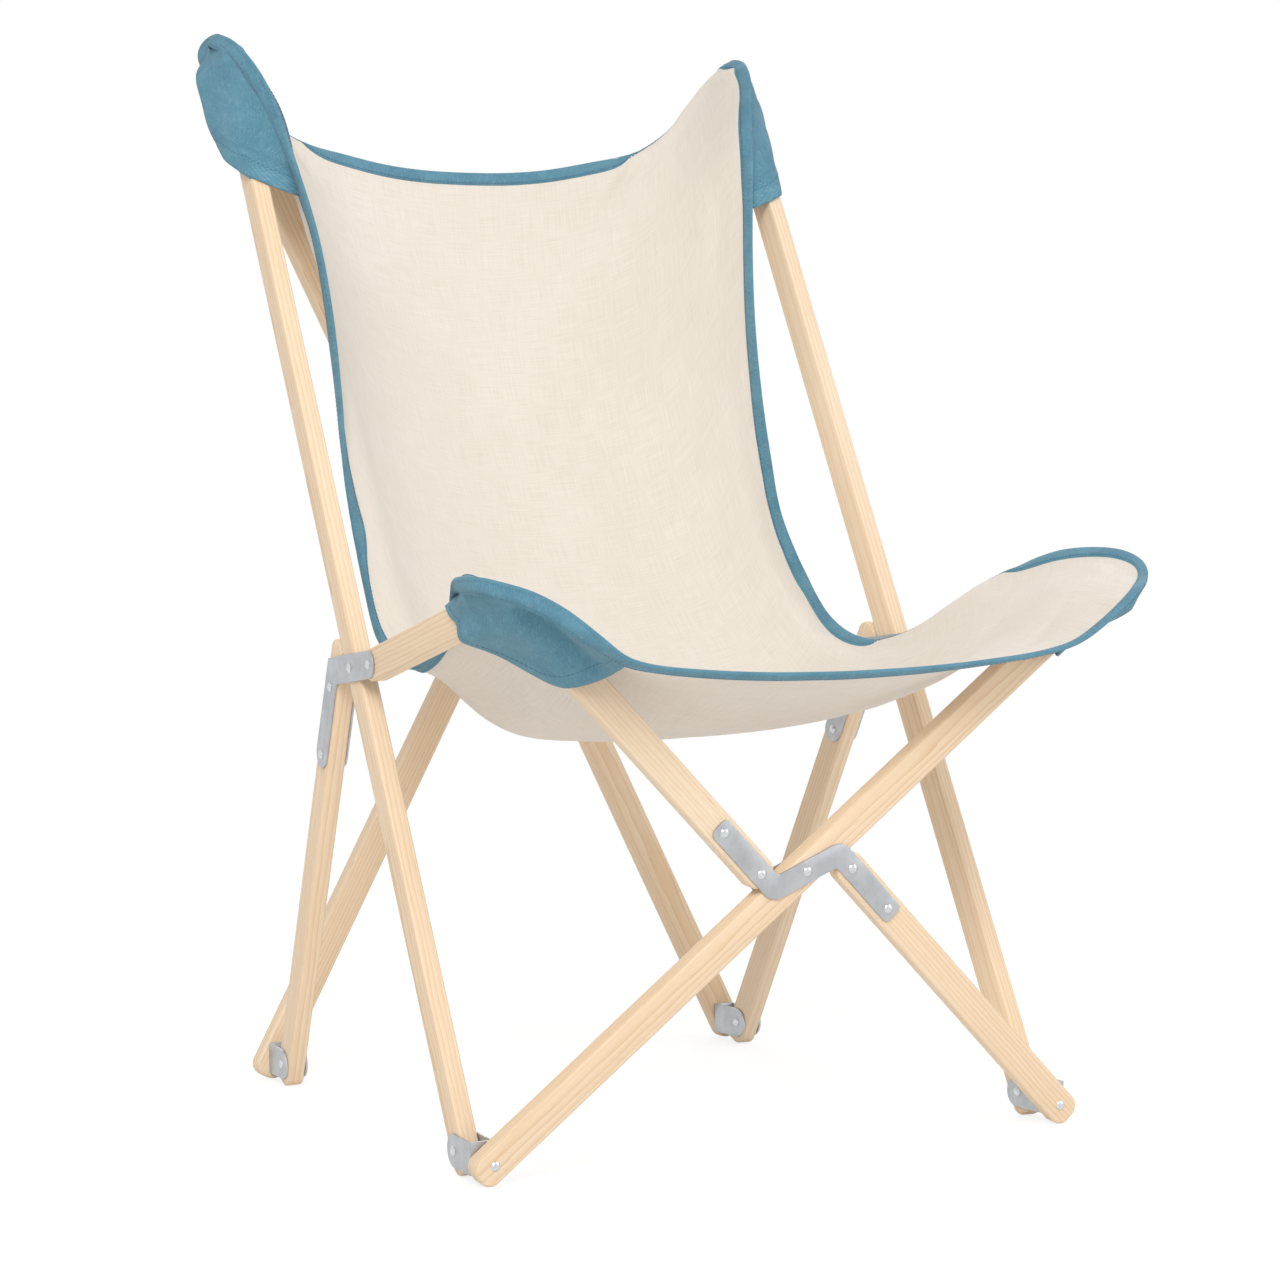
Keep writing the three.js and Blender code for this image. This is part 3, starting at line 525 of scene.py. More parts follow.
def make_pressing(name):
    """A plate or bracket: its solid with merged faces and broken edges."""
    node = nodes[name]
    piece = bpy.data.objects.new(f"{name}_pressing", node.data.copy())
    bpy.context.scene.collection.objects.link(piece)
    pick(piece)
    bpy.ops.object.mode_set(mode="EDIT")
    bpy.ops.mesh.select_all(action="SELECT")
    bpy.ops.mesh.remove_doubles(threshold=1e-5)
    bpy.ops.mesh.dissolve_limited(angle_limit=math.radians(1))
    bpy.ops.object.mode_set(mode="OBJECT")
    bevel_edges(piece, "broken_edges", PRESSING_EDGE, 2, 50)
    bpy.ops.object.shade_smooth_by_angle(angle=math.radians(38))
    finish_piece(piece, [name], node["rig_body"], STEEL)


def copied(pattern, name):
    piece = pattern.copy()
    piece.data = pattern.data.copy()
    piece.name = name
    bpy.context.scene.collection.objects.link(piece)
    return piece


CROSS_PLATE_HALF = 0.0105
CROSS_PLATE_EDGE = 0.0004
PLATE_END_ROUND = 0.0055
OUTER_BEND_ROUND = 0.0110
INNER_BEND_ROUND = 0.0035
# How far a cross plate runs on past its outer and inner rivets, as shares of the space between them
PAST_OUTER_RIVET = 0.16
PAST_INNER_RIVET = 0.36


def plate_outline(line):
    """Pairs of points on either side of a bent line, one pair for each of its points."""
    pairs = []
    for i, p in enumerate(line):
        before = (p - line[i - 1]).normalized() if i else (line[1] - p).normalized()
        after = (line[i + 1] - p).normalized() if i + 1 < len(line) else before
        first, second = Vector((-before.y, before.x)), Vector((-after.y, after.x))
        middle = (first + second).normalized()
        reach = middle * CROSS_PLATE_HALF / middle.dot(first)
        pairs.append((p + reach, p - reach))
    return pairs


def round_corner(piece, place, reach):
    """One corner of a flat outline cut back to a round."""
    mesh = bmesh.from_edit_mesh(piece.data)
    nearest = min(mesh.verts, key=lambda v: (v.co.xy - place).length)
    for vertex in mesh.verts:
        vertex.select = vertex is nearest
    mesh.select_flush(False)
    bmesh.update_edit_mesh(piece.data)
    bpy.ops.mesh.bevel(offset=reach, segments=7, affect="VERTICES")


def bent_strip(pairs):
    """A flat strip through pairs of points, joined into one face and left in edit mode."""
    deselect()
    bpy.ops.mesh.primitive_plane_add(size=0.01)
    strip = bpy.context.object
    bpy.ops.object.mode_set(mode="EDIT")
    bpy.ops.mesh.select_mode(type="VERT")
    mesh = bmesh.from_edit_mesh(strip.data)
    corners = sorted(mesh.verts, key=lambda v: (v.co.x, -v.co.y))
    for vertex, place in zip(corners, (*pairs[0], *pairs[1])):
        vertex.co.xy = place
        vertex.select = vertex in corners[2:]
    mesh.select_flush(False)
    bmesh.update_edit_mesh(strip.data)
    for start, end in zip(pairs[1:], pairs[2:]):
        bpy.ops.mesh.extrude_region_move()
        mesh = bmesh.from_edit_mesh(strip.data)
        for vertex in [v for v in mesh.verts if v.select]:
            vertex.co.xy = end[0] if (vertex.co.xy - start[0]).length < 1e-6 else end[1]
        bmesh.update_edit_mesh(strip.data)
    bpy.ops.mesh.select_all(action="SELECT")
    bpy.ops.mesh.dissolve_faces()
    return strip


def make_cross_plates(panel):
    """The two plates of a cross: a strip bent past the inner rivets, and its copy on the other face."""
    rivets = []
    for place in ("upper_outer", "upper_inner", "pivot", "lower_inner", "lower_outer"):
        low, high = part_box(f"{panel}_rivet_{place}")
        rivets.append((low + high) / 2)
    out = Vector(face_way(f"{panel}_plate_outer"))
    along = rivets[1] - rivets[0]
    along = (along - out * along.dot(out)).normalized()
    axes = Matrix((along, out.cross(along), out))
    flat = [(axes @ (p - rivets[2])).xy for p in rivets]
    upper, lower = flat[1] - flat[0], flat[3] - flat[4]
    line = [
        flat[0] - PAST_OUTER_RIVET * upper,
        flat[1] + PAST_INNER_RIVET * upper,
        flat[3] + PAST_INNER_RIVET * lower,
        flat[4] - PAST_OUTER_RIVET * lower,
    ]
    pairs = plate_outline(line)
    faces = []
    for face in ("outer", "inner"):
        heights = [(axes @ (Vector(p) - rivets[2])).z for p in points_of(f"{panel}_plate_{face}")]
        faces.append((f"{panel}_plate_{face}", min(heights), max(heights)))
    plate = bent_strip(pairs)
    turn = 1 if (line[1] - line[0]).cross(line[2] - line[1]) < 0 else 0
    for place in (*pairs[0], *pairs[3]):
        round_corner(plate, place, PLATE_END_ROUND)
    for place in (pairs[1][1 - turn], pairs[2][turn]):
        round_corner(plate, place, OUTER_BEND_ROUND)
    for place in (pairs[1][turn], pairs[2][1 - turn]):
        round_corner(plate, place, INNER_BEND_ROUND)
    bpy.ops.mesh.select_all(action="SELECT")
    bpy.ops.mesh.extrude_region_move(TRANSFORM_OT_translate={"value": (0, 0, faces[0][2] - faces[0][1])})
    bpy.ops.mesh.select_all(action="SELECT")
    bpy.ops.mesh.normals_make_consistent(inside=False)
    bpy.ops.object.mode_set(mode="OBJECT")
    bevel_edges(plate, "broken_edges", CROSS_PLATE_EDGE, 2, 50)
    bpy.ops.object.shade_smooth_by_angle(angle=math.radians(38))
    other = copied(plate, f"{faces[1][0]}_pressing")
    plate.name = f"{faces[0][0]}_pressing"
    for piece, (name, low, high) in zip((plate, other), faces):
        piece.data.transform(Matrix.Translation((0, 0, low)))
        piece.data.transform(Matrix.Translation(rivets[2]) @ axes.transposed().to_4x4())
        finish_piece(piece, [name], nodes[name]["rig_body"], STEEL)


HEAD_RADIUS = 0.0048
HEAD_HEIGHT = 0.0023
HEAD_RIM = 0.0004
SHAFT_RADIUS = 0.0028


def model_head():
    """One domed rivet head, its flat side on the ground plane."""
    ball = (HEAD_RADIUS**2 + HEAD_HEIGHT**2) / (2 * HEAD_HEIGHT)
    deselect()
    bpy.ops.mesh.primitive_uv_sphere_add(segments=28, ring_count=28, radius=ball)
    head = bpy.context.object
    head.name = "rivet_head_pattern"
    bpy.ops.object.mode_set(mode="EDIT")
    bpy.ops.mesh.select_all(action="SELECT")
    bpy.ops.mesh.bisect(
        plane_co=(0, 0, ball - HEAD_HEIGHT), plane_no=(0, 0, 1), clear_inner=True, use_fill=True
    )
    bpy.ops.mesh.select_all(action="SELECT")
    bpy.ops.transform.translate(value=(0, 0, HEAD_HEIGHT - ball))
    bpy.ops.object.mode_set(mode="OBJECT")
    bevel_edges(head, "soft_rim", HEAD_RIM, 3, 30)
    return head


def make_rivet(name, axis, pattern):
    """A rivet set through its holes, with a head at each end where its solid has one."""
    points = points_of(name)
    axis = Vector(axis)
    side = axis.orthogonal().normalized()
    other = axis.cross(side)
    axes = np.array([side, other, axis])
    local = points @ axes.T
    low, high = local.min(0), local.max(0)
    radius = np.hypot(local[:, 0] - (low[0] + high[0]) / 2, local[:, 1] - (low[1] + high[1]) / 2)
    headed = []
    for end in (low[2], high[2]):
        near = np.abs(local[:, 2] - end) < 0.003
        headed.append(radius[near].max() > 1.2 * SHAFT_RADIUS)
    pieces = []
    for has_head, end, sign in ((headed[0], low[2], -1), (headed[1], high[2], 1)):
        if has_head and (all(headed) or high[2] - low[2] > 0.006 or sign == 1):
            head = copied(pattern, f"{name}_head")
            turn = Matrix.Identity(4) if sign > 0 else Matrix.Rotation(math.pi, 4, "X")
            head.data.transform(Matrix.Translation((0, 0, end - sign * HEAD_HEIGHT)) @ turn)
            pieces.append(head)
    deselect()
    top = high[2] - (HEAD_HEIGHT if headed[1] else 0) * 0.5
    bottom = low[2] + (HEAD_HEIGHT if headed[0] else 0) * 0.5
    bpy.ops.mesh.primitive_cylinder_add(
        vertices=20, radius=SHAFT_RADIUS, depth=top - bottom, location=(0, 0, (top + bottom) / 2)
    )
    shaft = bpy.context.object
    bpy.ops.object.transform_apply(location=True, rotation=True, scale=True)
    for head in pieces:
        head.select_set(True)
    bpy.ops.object.join()
    shaft.name = f"{name}_set"
    place = Matrix(axes.T.tolist()).to_4x4()
    centre = Vector(((low[0] + high[0]) / 2, (low[1] + high[1]) / 2, 0))
    shaft.data.transform(place @ Matrix.Translation(centre))
    bpy.ops.object.shade_smooth_by_angle(angle=math.radians(40))
    finish_piece(shaft, [name], nodes[name]["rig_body"], RIVET)


bar_names = sorted(n for n in nodes if n.endswith("_bar"))
for number, name in enumerate(bar_names):
    make_bar(name, number)
panel_normal = {
    "front": bar_frame("front_long_bar")[1][2],
    "rear": bar_frame("rear_long_bar")[1][2],
    "left": bar_frame("left_long_bar")[1][2],
    "right": bar_frame("right_long_bar")[1][2],
}
for name in sorted(n for n in nodes if n.startswith(("left_plate_", "right_plate_", "foot_bracket_"))):
    make_pressing(name)
for panel in ("front", "rear"):
    make_cross_plates(panel)
head_pattern = model_head()
for name in sorted(n for n in nodes if "_rivet_" in n):
    words = name.split("_")
    if words[0] == "foot":
        panel = words[2] if words[4] == "cross" else words[3]
    else:
        panel = words[0]
    make_rivet(name, panel_normal[panel], head_pattern)
bpy.data.objects.remove(head_pattern)


# Sling surface

BACK_RIDGE = [
    (0, 606, 920), (45, 606, 921), (90, 604, 925), (130, 601, 932), (165, 597, 940), (199, 591, 952),
    (230, 591, 971), (258, 594, 1004), (278, 593, 1027), (291, 582, 1042), (297, 566, 1048),
]
FRONT_EDGE = [
    (0, -160, 444), (80, -162, 446), (150, -168, 451), (205, -176, 458), (232, -181, 466), (260, -186, 485),
    (290, -184, 507),
]
LEFT_FRONT_END = [(314, -169, 522), (332, -150, 529), (345, -134, 533), (350, -118, 533)]
RIGHT_FRONT_END = [(310, -168, 514), (326, -151, 518), (340, -133, 527), (346, -113, 536)]
UPPER_SIDE = [
    (297, 566, 1048), (299, 548, 1045), (293, 527, 1037), (283, 501, 1013), (274, 486, 988),
    (266, 468, 946), (257, 453, 906), (245, 433, 841), (238, 415, 762), (237, 398, 684), (239, 384, 625),
    (240, 365, 568), (245, 328, 512), (252, 284, 463),
]
RIGHT_SEAT_RIDGE = [
    (255, 222, 446), (262, 160, 457), (275, 105, 485), (290, 60, 512), (306, 12, 531), (321, -30, 541),
    (334, -66, 544), (343, -92, 542), (346, -113, 536),
]
LEFT_SEAT_SIDE = [
    (261, 236, 446), (267, 200, 439), (270, 165, 438), (271, 130, 447), (276, 92, 465), (290, 45, 487),
    (309, 0, 505), (326, -38, 519), (341, -72, 528), (349, -97, 532), (350, -118, 533),
]
MIDDLE = [
    (0, 606, 920), (0, 583, 830), (0, 545, 740), (0, 494, 630), (0, 420, 512), (0, 333, 426), (0, 240, 379),
    (0, 140, 366), (0, 20, 382), (0, -80, 411), (0, -160, 444),
]
# Rims that turn over beyond a ridge of the cloth: share of the edge, and the way from ridge to rim in mm
BACK_TURN = [
    (0.42, 0, 0, 0), (0.54, 0, 3, -3), (0.64, -2, 7, -10), (0.77, 3, 12, -20), (0.885, 12, 13, -20),
    (0.95, 13, 14, -12), (0.978, 8, 8, -3), (1.0, 0, 0, 0),
]
RIGHT_SEAT_TURN = [
    (0.60, 0, 0, 0), (0.673, 2, 0, -2), (0.726, 5, 0, -7), (0.781, 7, 0, -13), (0.83, 6, 0, -11),
    (0.879, 2, 0, -3), (0.915, 0, 0, 0),
]
# Where bars under the cloth push it out of its free curve: place across and down, spread, and way in mm
PUSHES = [
    (-0.66, 0.915, 0.27, 0.05, (0, 0, 29)),
    (0.62, 0.92, 0.24, 0.05, (0, 0, 19)),
    (0.90, 0.80, 0.08, 0.05, (-4, 0, 12)),
    (-0.93, 0.91, 0.06, 0.05, (3, 0, 6)),
    (-0.93, 0.035, 0.07, 0.045, (5, -2, 2)),
    (0.93, 0.035, 0.07, 0.045, (-5, -2, 2)),
    (-0.93, 0.12, 0.10, 0.05, (8, -12, 0)),
    (0.93, 0.12, 0.10, 0.05, (-8, -12, 0)),
]
ACROSS = 161
DOWN = 241


def ease(value):
    """A soft step from 0 to 1."""
    v = np.clip(value, 0, 1)
    return 3 * v**2 - 2 * v**3


def run_along(points):
    """The way covered along a line at each of its points."""
    return np.r_[0, np.cumsum(np.linalg.norm(np.diff(points, axis=0), axis=1))]


def read_line(places, run, points):
    """Points of a line at given places of its run."""
    return np.stack([np.interp(places, run, points[:, i]) for i in range(points.shape[1])], -1)


class Line:
    """A smooth line through points, read by its share of length."""

    def __init__(self, points):
        p = np.array(points, float)
        knots = np.r_[0, np.cumsum(np.sqrt(np.linalg.norm(np.diff(p, axis=0), axis=1)))]
        p = np.vstack([2 * p[0] - p[1], p, 2 * p[-1] - p[-2]])
        k = np.r_[2 * knots[0] - knots[1], knots, 2 * knots[-1] - knots[-2]]
        fine = []
        for i in range(1, len(p) - 2):
            u = np.linspace(k[i], k[i + 1], 24, endpoint=False)[:, None]

            def between(a, b, first, second):
                return (k[b] - u) / (k[b] - k[a]) * first + (u - k[a]) / (k[b] - k[a]) * second

            a1 = between(i - 1, i, p[i - 1], p[i])
            a2 = between(i, i + 1, p[i], p[i + 1])
            a3 = between(i + 1, i + 2, p[i + 1], p[i + 2])
            b1 = between(i - 1, i + 1, a1, a2)
            b2 = between(i, i + 2, a2, a3)
            fine.append(between(i, i + 1, b1, b2))
        self.points = np.vstack([*fine, p[-2]])
        self.run = run_along(self.points)
        self.length = self.run[-1]

    def at(self, share):
        return read_line(np.asarray(share) * self.length, self.run, self.points)


back_line, middle_line = Line(BACK_RIDGE), Line(MIDDLE)
left_front, right_front = Line(FRONT_EDGE + LEFT_FRONT_END), Line(FRONT_EDGE + RIGHT_FRONT_END)
right_line = Line(UPPER_SIDE + RIGHT_SEAT_RIDGE)
left_line = Line(UPPER_SIDE + LEFT_SEAT_SIDE)
MIRROR = np.array([-1, 1, 1])
HALF_ACROSS = 0.36
LENGTH_DOWN = right_line.length / 1000


def turn_way(table, share):
    rows = np.array(table, float)
    return read_line(share, rows[:, 0], rows[:, 1:])


def on_sling(s, t):
    """Places on the sling in metres: s from left (-1) to right (1), t from back (0) to front (1)."""
    s, t = np.broadcast_arrays(np.asarray(s, float), np.asarray(t, float))
    flip = np.where(s[..., None] < 0, MIRROR, 1)
    back_way = turn_way(BACK_TURN, np.abs(s)) * flip
    side_way = turn_way(RIGHT_SEAT_TURN, t) * (s > 0)[..., None]
    back_part = np.linalg.norm(back_way, axis=-1) / 1000 / LENGTH_DOWN + 1e-9
    side_part = np.linalg.norm(side_way, axis=-1) / 1000 / HALF_ACROSS + 1e-9
    over_back = np.clip(1 - t / back_part, 0, 1)[..., None]
    over_side = np.clip((s - 1 + side_part) / side_part, 0, 1)[..., None]
    t = np.clip((t - back_part) / (1 - back_part), 0, 1)
    s = np.where(s > 0, np.minimum(s / (1 - side_part), 1), s)
    s1, t1 = s[..., None], t[..., None]
    k = (s1 + 1) / 2

    def spanned(back, front, share):
        left, right = left_line.at(t) * MIRROR, right_line.at(t)
        sides = ((left_line, MIRROR), (right_line, 1))
        corners = [line.at(end) * turned for end in (0.0, 1.0) for line, turned in sides]
        tips = (1 - t1) * ((1 - share) * corners[0] + share * corners[1])
        tips = tips + t1 * ((1 - share) * corners[2] + share * corners[3])
        return (1 - t1) * back + t1 * front + (1 - share) * left + share * right - tips

    front = np.where(s1 < 0, left_front.at(np.abs(s)) * MIRROR, right_front.at(np.abs(s)))
    p = spanned(back_line.at(np.abs(s)) * flip, front, k)
    middle = spanned(back_line.at(0.0), right_front.at(0.0), 0.5)
    power = 2.4 - 0.65 * ease((t1 - 0.45) / 0.2)
    p = p + (1 - np.abs(s1) ** power) * (middle_line.at(t) - middle)
    inside = ease((1 - np.abs(s1)) / 0.045) * ease(t1 / 0.025) * ease((1 - t1) / 0.03)
    for s0, t0, wide, long, way in PUSHES:
        p = p + inside * np.exp(-(((s1 - s0) / wide) ** 2) - ((t1 - t0) / long) ** 2) * np.array(way, float)
    p = p + over_back * back_way + over_side * side_way
    return p / 1000 + np.array(PLAN_SHIFT)


def sling_normal(s, t, step=3e-3):
    """Square to the sling, away from the sitter."""
    across = on_sling(np.minimum(s + step, 1), t) - on_sling(np.maximum(s - step, -1), t)
    down = on_sling(s, np.minimum(t + step, 1)) - on_sling(s, np.maximum(t - step, 0))
    n = np.cross(across, down)
    return n / np.linalg.norm(n, axis=-1, keepdims=True)


def gathered(k, share):
    """Shares from 0 to 1, closer together towards both ends."""
    return k - share * np.sin(2 * np.pi * k) / (2 * np.pi)


def mesh_piece(name, points, faces, uv, material):
    """A mesh object whose corners carry the cloth's own measure, in metres, as its map."""
    mesh = bpy.data.meshes.new(name)
    mesh.from_pydata([tuple(p) for p in points], [], faces)
    layer = mesh.uv_layers.new(name="cloth")
    places = np.asarray(uv, np.float32)[np.array([l.vertex_index for l in mesh.loops])]
    layer.data.foreach_set("uv", places.ravel())
    mesh.materials.append(material)
    for polygon in mesh.polygons:
        polygon.use_smooth = True
    piece = bpy.data.objects.new(name, mesh)
    bpy.context.scene.collection.objects.link(piece)
    return piece


def grid_faces(rows, columns):
    faces = []
    for i in range(rows - 1):
        for j in range(columns - 1):
            first = i * columns + j
            faces.append((first, first + 1, first + columns + 1, first + columns))
    return faces


sling_s = 2 * gathered(np.linspace(0, 1, ACROSS), 0.35) - 1
sling_t = gathered(np.linspace(0, 1, DOWN), 0.45)
grid_s, grid_t = np.meshgrid(sling_s, sling_t)
cloth = on_sling(grid_s, grid_t)
cloth_normal = sling_normal(grid_s, grid_t)
canvas_uv = np.stack([grid_s * HALF_ACROSS, grid_t * LENGTH_DOWN], -1).reshape(-1, 2)

# Folds drawn from a corner into the cloth: start and end (across, down), half width, depth in metres
FOLDS = [
    (0.56, 0.006, 0.41, 0.065, 0.022, 0.0110),
    (0.66, 0.02, 0.54, 0.09, 0.040, -0.0035),
    (-0.60, 0.0, -0.50, 0.075, 0.034, 0.0065),
    (-0.72, 0.03, -0.60, 0.14, 0.050, -0.0040),
    (0.55, 0.955, 0.80, 0.93, 0.030, 0.0040),
    (-0.86, 0.16, -0.70, 0.42, 0.050, 0.0035),
    (0.86, 0.18, 0.74, 0.40, 0.050, 0.0030),
]


def unevenness(places, fineness, offset=(0, 0, 0)):
    """A soft random value at each place, finer with a higher number."""
    values = [noise.noise(Vector(p) * fineness + Vector(offset)) for p in places.reshape(-1, 3)]
    return np.array(values).reshape(places.shape[:-1])


def folded(places, normals, s, t):
    """Cloth with its soft folds, deepest at their start, and the slight unevenness of hung cloth."""
    fade = ease((1 - np.abs(s)) / 0.06) * ease((1 - t) / 0.04)
    height = np.zeros(s.shape)
    for s0, t0, s1, t1, wide, depth in FOLDS:
        run_s, run_t = (s1 - s0) * HALF_ACROSS, (t1 - t0) * LENGTH_DOWN
        length = math.hypot(run_s, run_t)
        off_s, off_t = (s - s0) * HALF_ACROSS, (t - t0) * LENGTH_DOWN
        along = (off_s * run_s + off_t * run_t) / length**2
        aside = (off_s * run_t - off_t * run_s) / length
        shape = np.exp(-((aside / (wide * HALF_ACROSS)) ** 2)) * ease(1 - along) * ease(1 + along / 0.2)
        height += depth * shape * ease(t / 0.03)
    slow, fine = unevenness(places, 7.0), unevenness(places, 23.0, (3, 1, 5))
    height += ease(t / 0.05) * (0.0022 * slow + 0.0006 * fine)
    return places + normals * (fade * height)[..., None]


cloth = folded(cloth, cloth_normal, grid_s, grid_t)


def rounded_ridges(points):
    """The turned-over rims brought round in a soft bend instead of a crease."""
    back_turn = np.linalg.norm(turn_way(BACK_TURN, np.abs(grid_s)), axis=-1)
    side_turn = np.linalg.norm(turn_way(RIGHT_SEAT_TURN, grid_t), axis=-1)
    over_back = ease(back_turn / 8) * ease((0.06 - grid_t) / 0.02)
    over_side = ease(side_turn / 5) * ease((grid_s - 0.88) / 0.04)
    for _ in range(9):
        down = 0.5 * (points[:-2] + points[2:]) - points[1:-1]
        points[1:-1] += 0.5 * over_back[1:-1, :, None] * down
        along = 0.5 * (points[:, :-2] + points[:, 2:]) - points[:, 1:-1]
        points[:, 1:-1] += 0.5 * over_side[:, 1:-1, None] * along
    return points


cloth = rounded_ridges(cloth)

CLEAR_OF_BARS = 0.0026
BAR_TIP_SPARED = 0.0075
PUSH_ROUNDS = 40
SPREAD_ROUNDS = 9
SETTLE_ROUNDS = 4
HAND = {"left": -1, "right": 1}
HELD_BARS = {
    ("back", "left"): ("left_long_bar", "rear_upper_bar"),
    ("back", "right"): ("right_long_bar", "rear_long_bar"),
    ("seat", "left"): ("left_arm_bar", "front_upper_bar"),
    ("seat", "right"): ("right_arm_bar", "front_long_bar"),
}
bar_boxes = {name: bar_frame(name) for name in bar_names}


def kept_off(points, names, way):
    """Points inside a bar, or too near it, moved out along one way. The last bit of a bar end doesn't
    count, so that the rim keeps its line there."""
    for name in names:
        middle, axes, half = bar_boxes[name]
        local = (points - middle) @ axes.T
        heading = way @ axes.T
        heading = np.where(np.abs(heading) < 1e-6, 1e-6, heading)
        reach = half + CLEAR_OF_BARS - np.array([BAR_TIP_SPARED, 0, 0])
        inside = (np.abs(local) < reach).all(-1)
        exits = ((np.sign(heading) * reach - local) / heading).min(-1)
        points = points + way * np.where(inside, exits, 0.0)[..., None]
    return points


def wrapped_round(points, names, way, clear):
    """Points inside a bar, or too near it, moved out by its nearest face. Faces that look against the way
    don't count."""
    for name in names:
        middle, axes, half = bar_boxes[name]
        local = (points - middle) @ axes.T
        inside = (np.abs(local) < half + clear).all(-1)
        least = np.full(inside.shape, 1.0)
        move = np.zeros(points.shape)
        for normal in (*axes, *-axes):
            if normal @ way > -0.3:
                gap = np.abs(axes @ normal) @ (half + clear) - (points - middle) @ normal
                move = np.where((gap < least)[..., None], gap[..., None] * normal, move)
                least = np.minimum(gap, least)
        points = points + np.where(inside[..., None], move, 0.0)
    return points


def unit(x, y, z):
    way = np.array([x, y, z], float)
    return way / np.linalg.norm(way)


def neighbour_mean(points):
    """The mean of the four neighbours of each inner point of a grid."""
    return 0.25 * (points[:-2, 1:-1] + points[2:, 1:-1] + points[1:-1, :-2] + points[1:-1, 2:])


def spread_out(touched):
    """How much the inner points of a grid share in what its touched points do."""
    for _ in range(SPREAD_ROUNDS):
        touched = 0.2 * (
            touched + np.roll(touched, 1, 0) + np.roll(touched, -1, 0)
            + np.roll(touched, 1, 1) + np.roll(touched, -1, 1)
        )
    return np.clip(4 * touched, 0, 1)[1:-1, 1:-1, None]


def laid_over_bars(points):
    """The cloth eased over the bar ends that it hangs on, on the sitter's side of them."""
    for (row, side), names in HELD_BARS.items():
        hand = HAND[side]
        way = unit(-0.95 * hand, -0.25, 0.2) if row == "back" else unit(-0.2 * hand, 0.1, 0.97)
        rows = slice(0, DOWN // 3) if row == "back" else slice(2 * DOWN // 3, DOWN)
        columns = slice(0, ACROSS // 2) if side == "left" else slice(ACROSS // 2 + 1, ACROSS)
        part = points[rows, columns]
        touched = np.zeros(part.shape[:2])
        for _ in range(PUSH_ROUNDS):
            pushed = part.copy()
            pushed[1:-1, 1:-1] = kept_off(part, names, way)[1:-1, 1:-1]
            touched = np.maximum(touched, np.linalg.norm(pushed - part, axis=-1) > 1e-6)
            share = spread_out(touched)
            pushed[1:-1, 1:-1] += 0.4 * share * (neighbour_mean(pushed) - pushed[1:-1, 1:-1])
            part = pushed
        part[1:-1, 1:-1] = kept_off(part, names, way)[1:-1, 1:-1]
        for _ in range(SETTLE_ROUNDS):
            part[1:-1, 1:-1] += 0.5 * share * (neighbour_mean(part) - part[1:-1, 1:-1])
        points[rows, columns] = part
    return points


RIM_STEP = 0.003


def smooth_loop(values, rounds):
    for _ in range(rounds):
        values = 0.5 * values + 0.25 * (np.roll(values, 1, 0) + np.roll(values, -1, 0))
    return values


SIDE_POINTS = 900
corner_turns = [(-1, 0), (1, 0), (1, 1), (-1, 1), (-1, 0)]
rim_s, rim_t = [], []
for start, stop in zip(corner_turns, corner_turns[1:]):
    k = np.linspace(0, 1, SIDE_POINTS, endpoint=False)
    rim_s.append(start[0] + (stop[0] - start[0]) * k)
    rim_t.append(start[1] + (stop[1] - start[1]) * k)
rim_s, rim_t = np.concatenate(rim_s), np.concatenate(rim_t)
rim = on_sling(rim_s, rim_t)
closed_rim = np.vstack([rim, rim[:1]])
rim_run = run_along(closed_rim)
RIM_COUNT = int(rim_run[-1] / RIM_STEP)
steps = np.linspace(0, rim_run[-1], RIM_COUNT, endpoint=False)
edge = smooth_loop(read_line(steps, rim_run, closed_rim), 10)
tip_at = {}
for number, corner in enumerate((("back", "left"), ("back", "right"), ("seat", "right"), ("seat", "left"))):
    tip_at[corner] = round(rim_run[number * SIDE_POINTS] / rim_run[-1] * RIM_COUNT)


def drawn_to_rim(points):
    """The border of the cloth brought onto the rim line, and the cloth beside it with it."""
    fade_down = np.clip(1 - np.arange(DOWN) / 8, 0, 1)[:, None, None]
    fade_across = np.clip(1 - np.arange(ACROSS) / 8, 0, 1)[None, :, None]

    def way_to_rim(border):
        far = np.linalg.norm(border[:, None] - edge[None], axis=-1)
        return edge[far.argmin(1)] - border

    points = points + fade_down * way_to_rim(points[0])[None]
    points = points + fade_down[::-1] * way_to_rim(points[-1])[None]
    points = points + fade_across * way_to_rim(points[:, 0])[:, None]
    return points + fade_across[:, ::-1] * way_to_rim(points[:, -1])[:, None]


cloth = drawn_to_rim(laid_over_bars(cloth))
canvas_faces = grid_faces(DOWN, ACROSS)
canvas = mesh_piece("sling_canvas_cloth", cloth.reshape(-1, 3), canvas_faces, canvas_uv, CANVAS)
canvas_tree = BVHTree.FromPolygons([tuple(p) for p in cloth.reshape(-1, 3)], canvas_faces)


# Rim of the sling

# How far each pocket is sewn in from its tip, along the back or front edge and along the side
POCKET_RUN = {
    ("back", "left"): (0.150, 0.221),
    ("back", "right"): (0.150, 0.221),
    ("seat", "left"): (0.205, 0.185),
    ("seat", "right"): (0.185, 0.175),
}
# The line of a pocket's mouth: place across it, and the share of the pocket's length left there
BACK_CUTS = [
    (0, 1), (0.4, 0.97), (0.53, 0.93), (0.6, 0.865), (0.65, 0.87), (0.72, 0.89), (0.8, 0.92), (0.93, 0.935),
    (0.97, 0.97), (1, 1),
]
SEAT_CUTS = [
    (0, 0.88), (0.06, 0.91), (0.14, 0.97), (0.22, 1), (0.41, 1), (0.61, 0.74), (0.82, 0.46), (0.9, 0.45),
    (0.95, 0.52), (1, 0.58),
]


def cross_step(row, side):
    """Which way round the rim the back or front edge lies from a corner's tip."""
    return 1 if (row, side) in (("back", "left"), ("seat", "right")) else -1


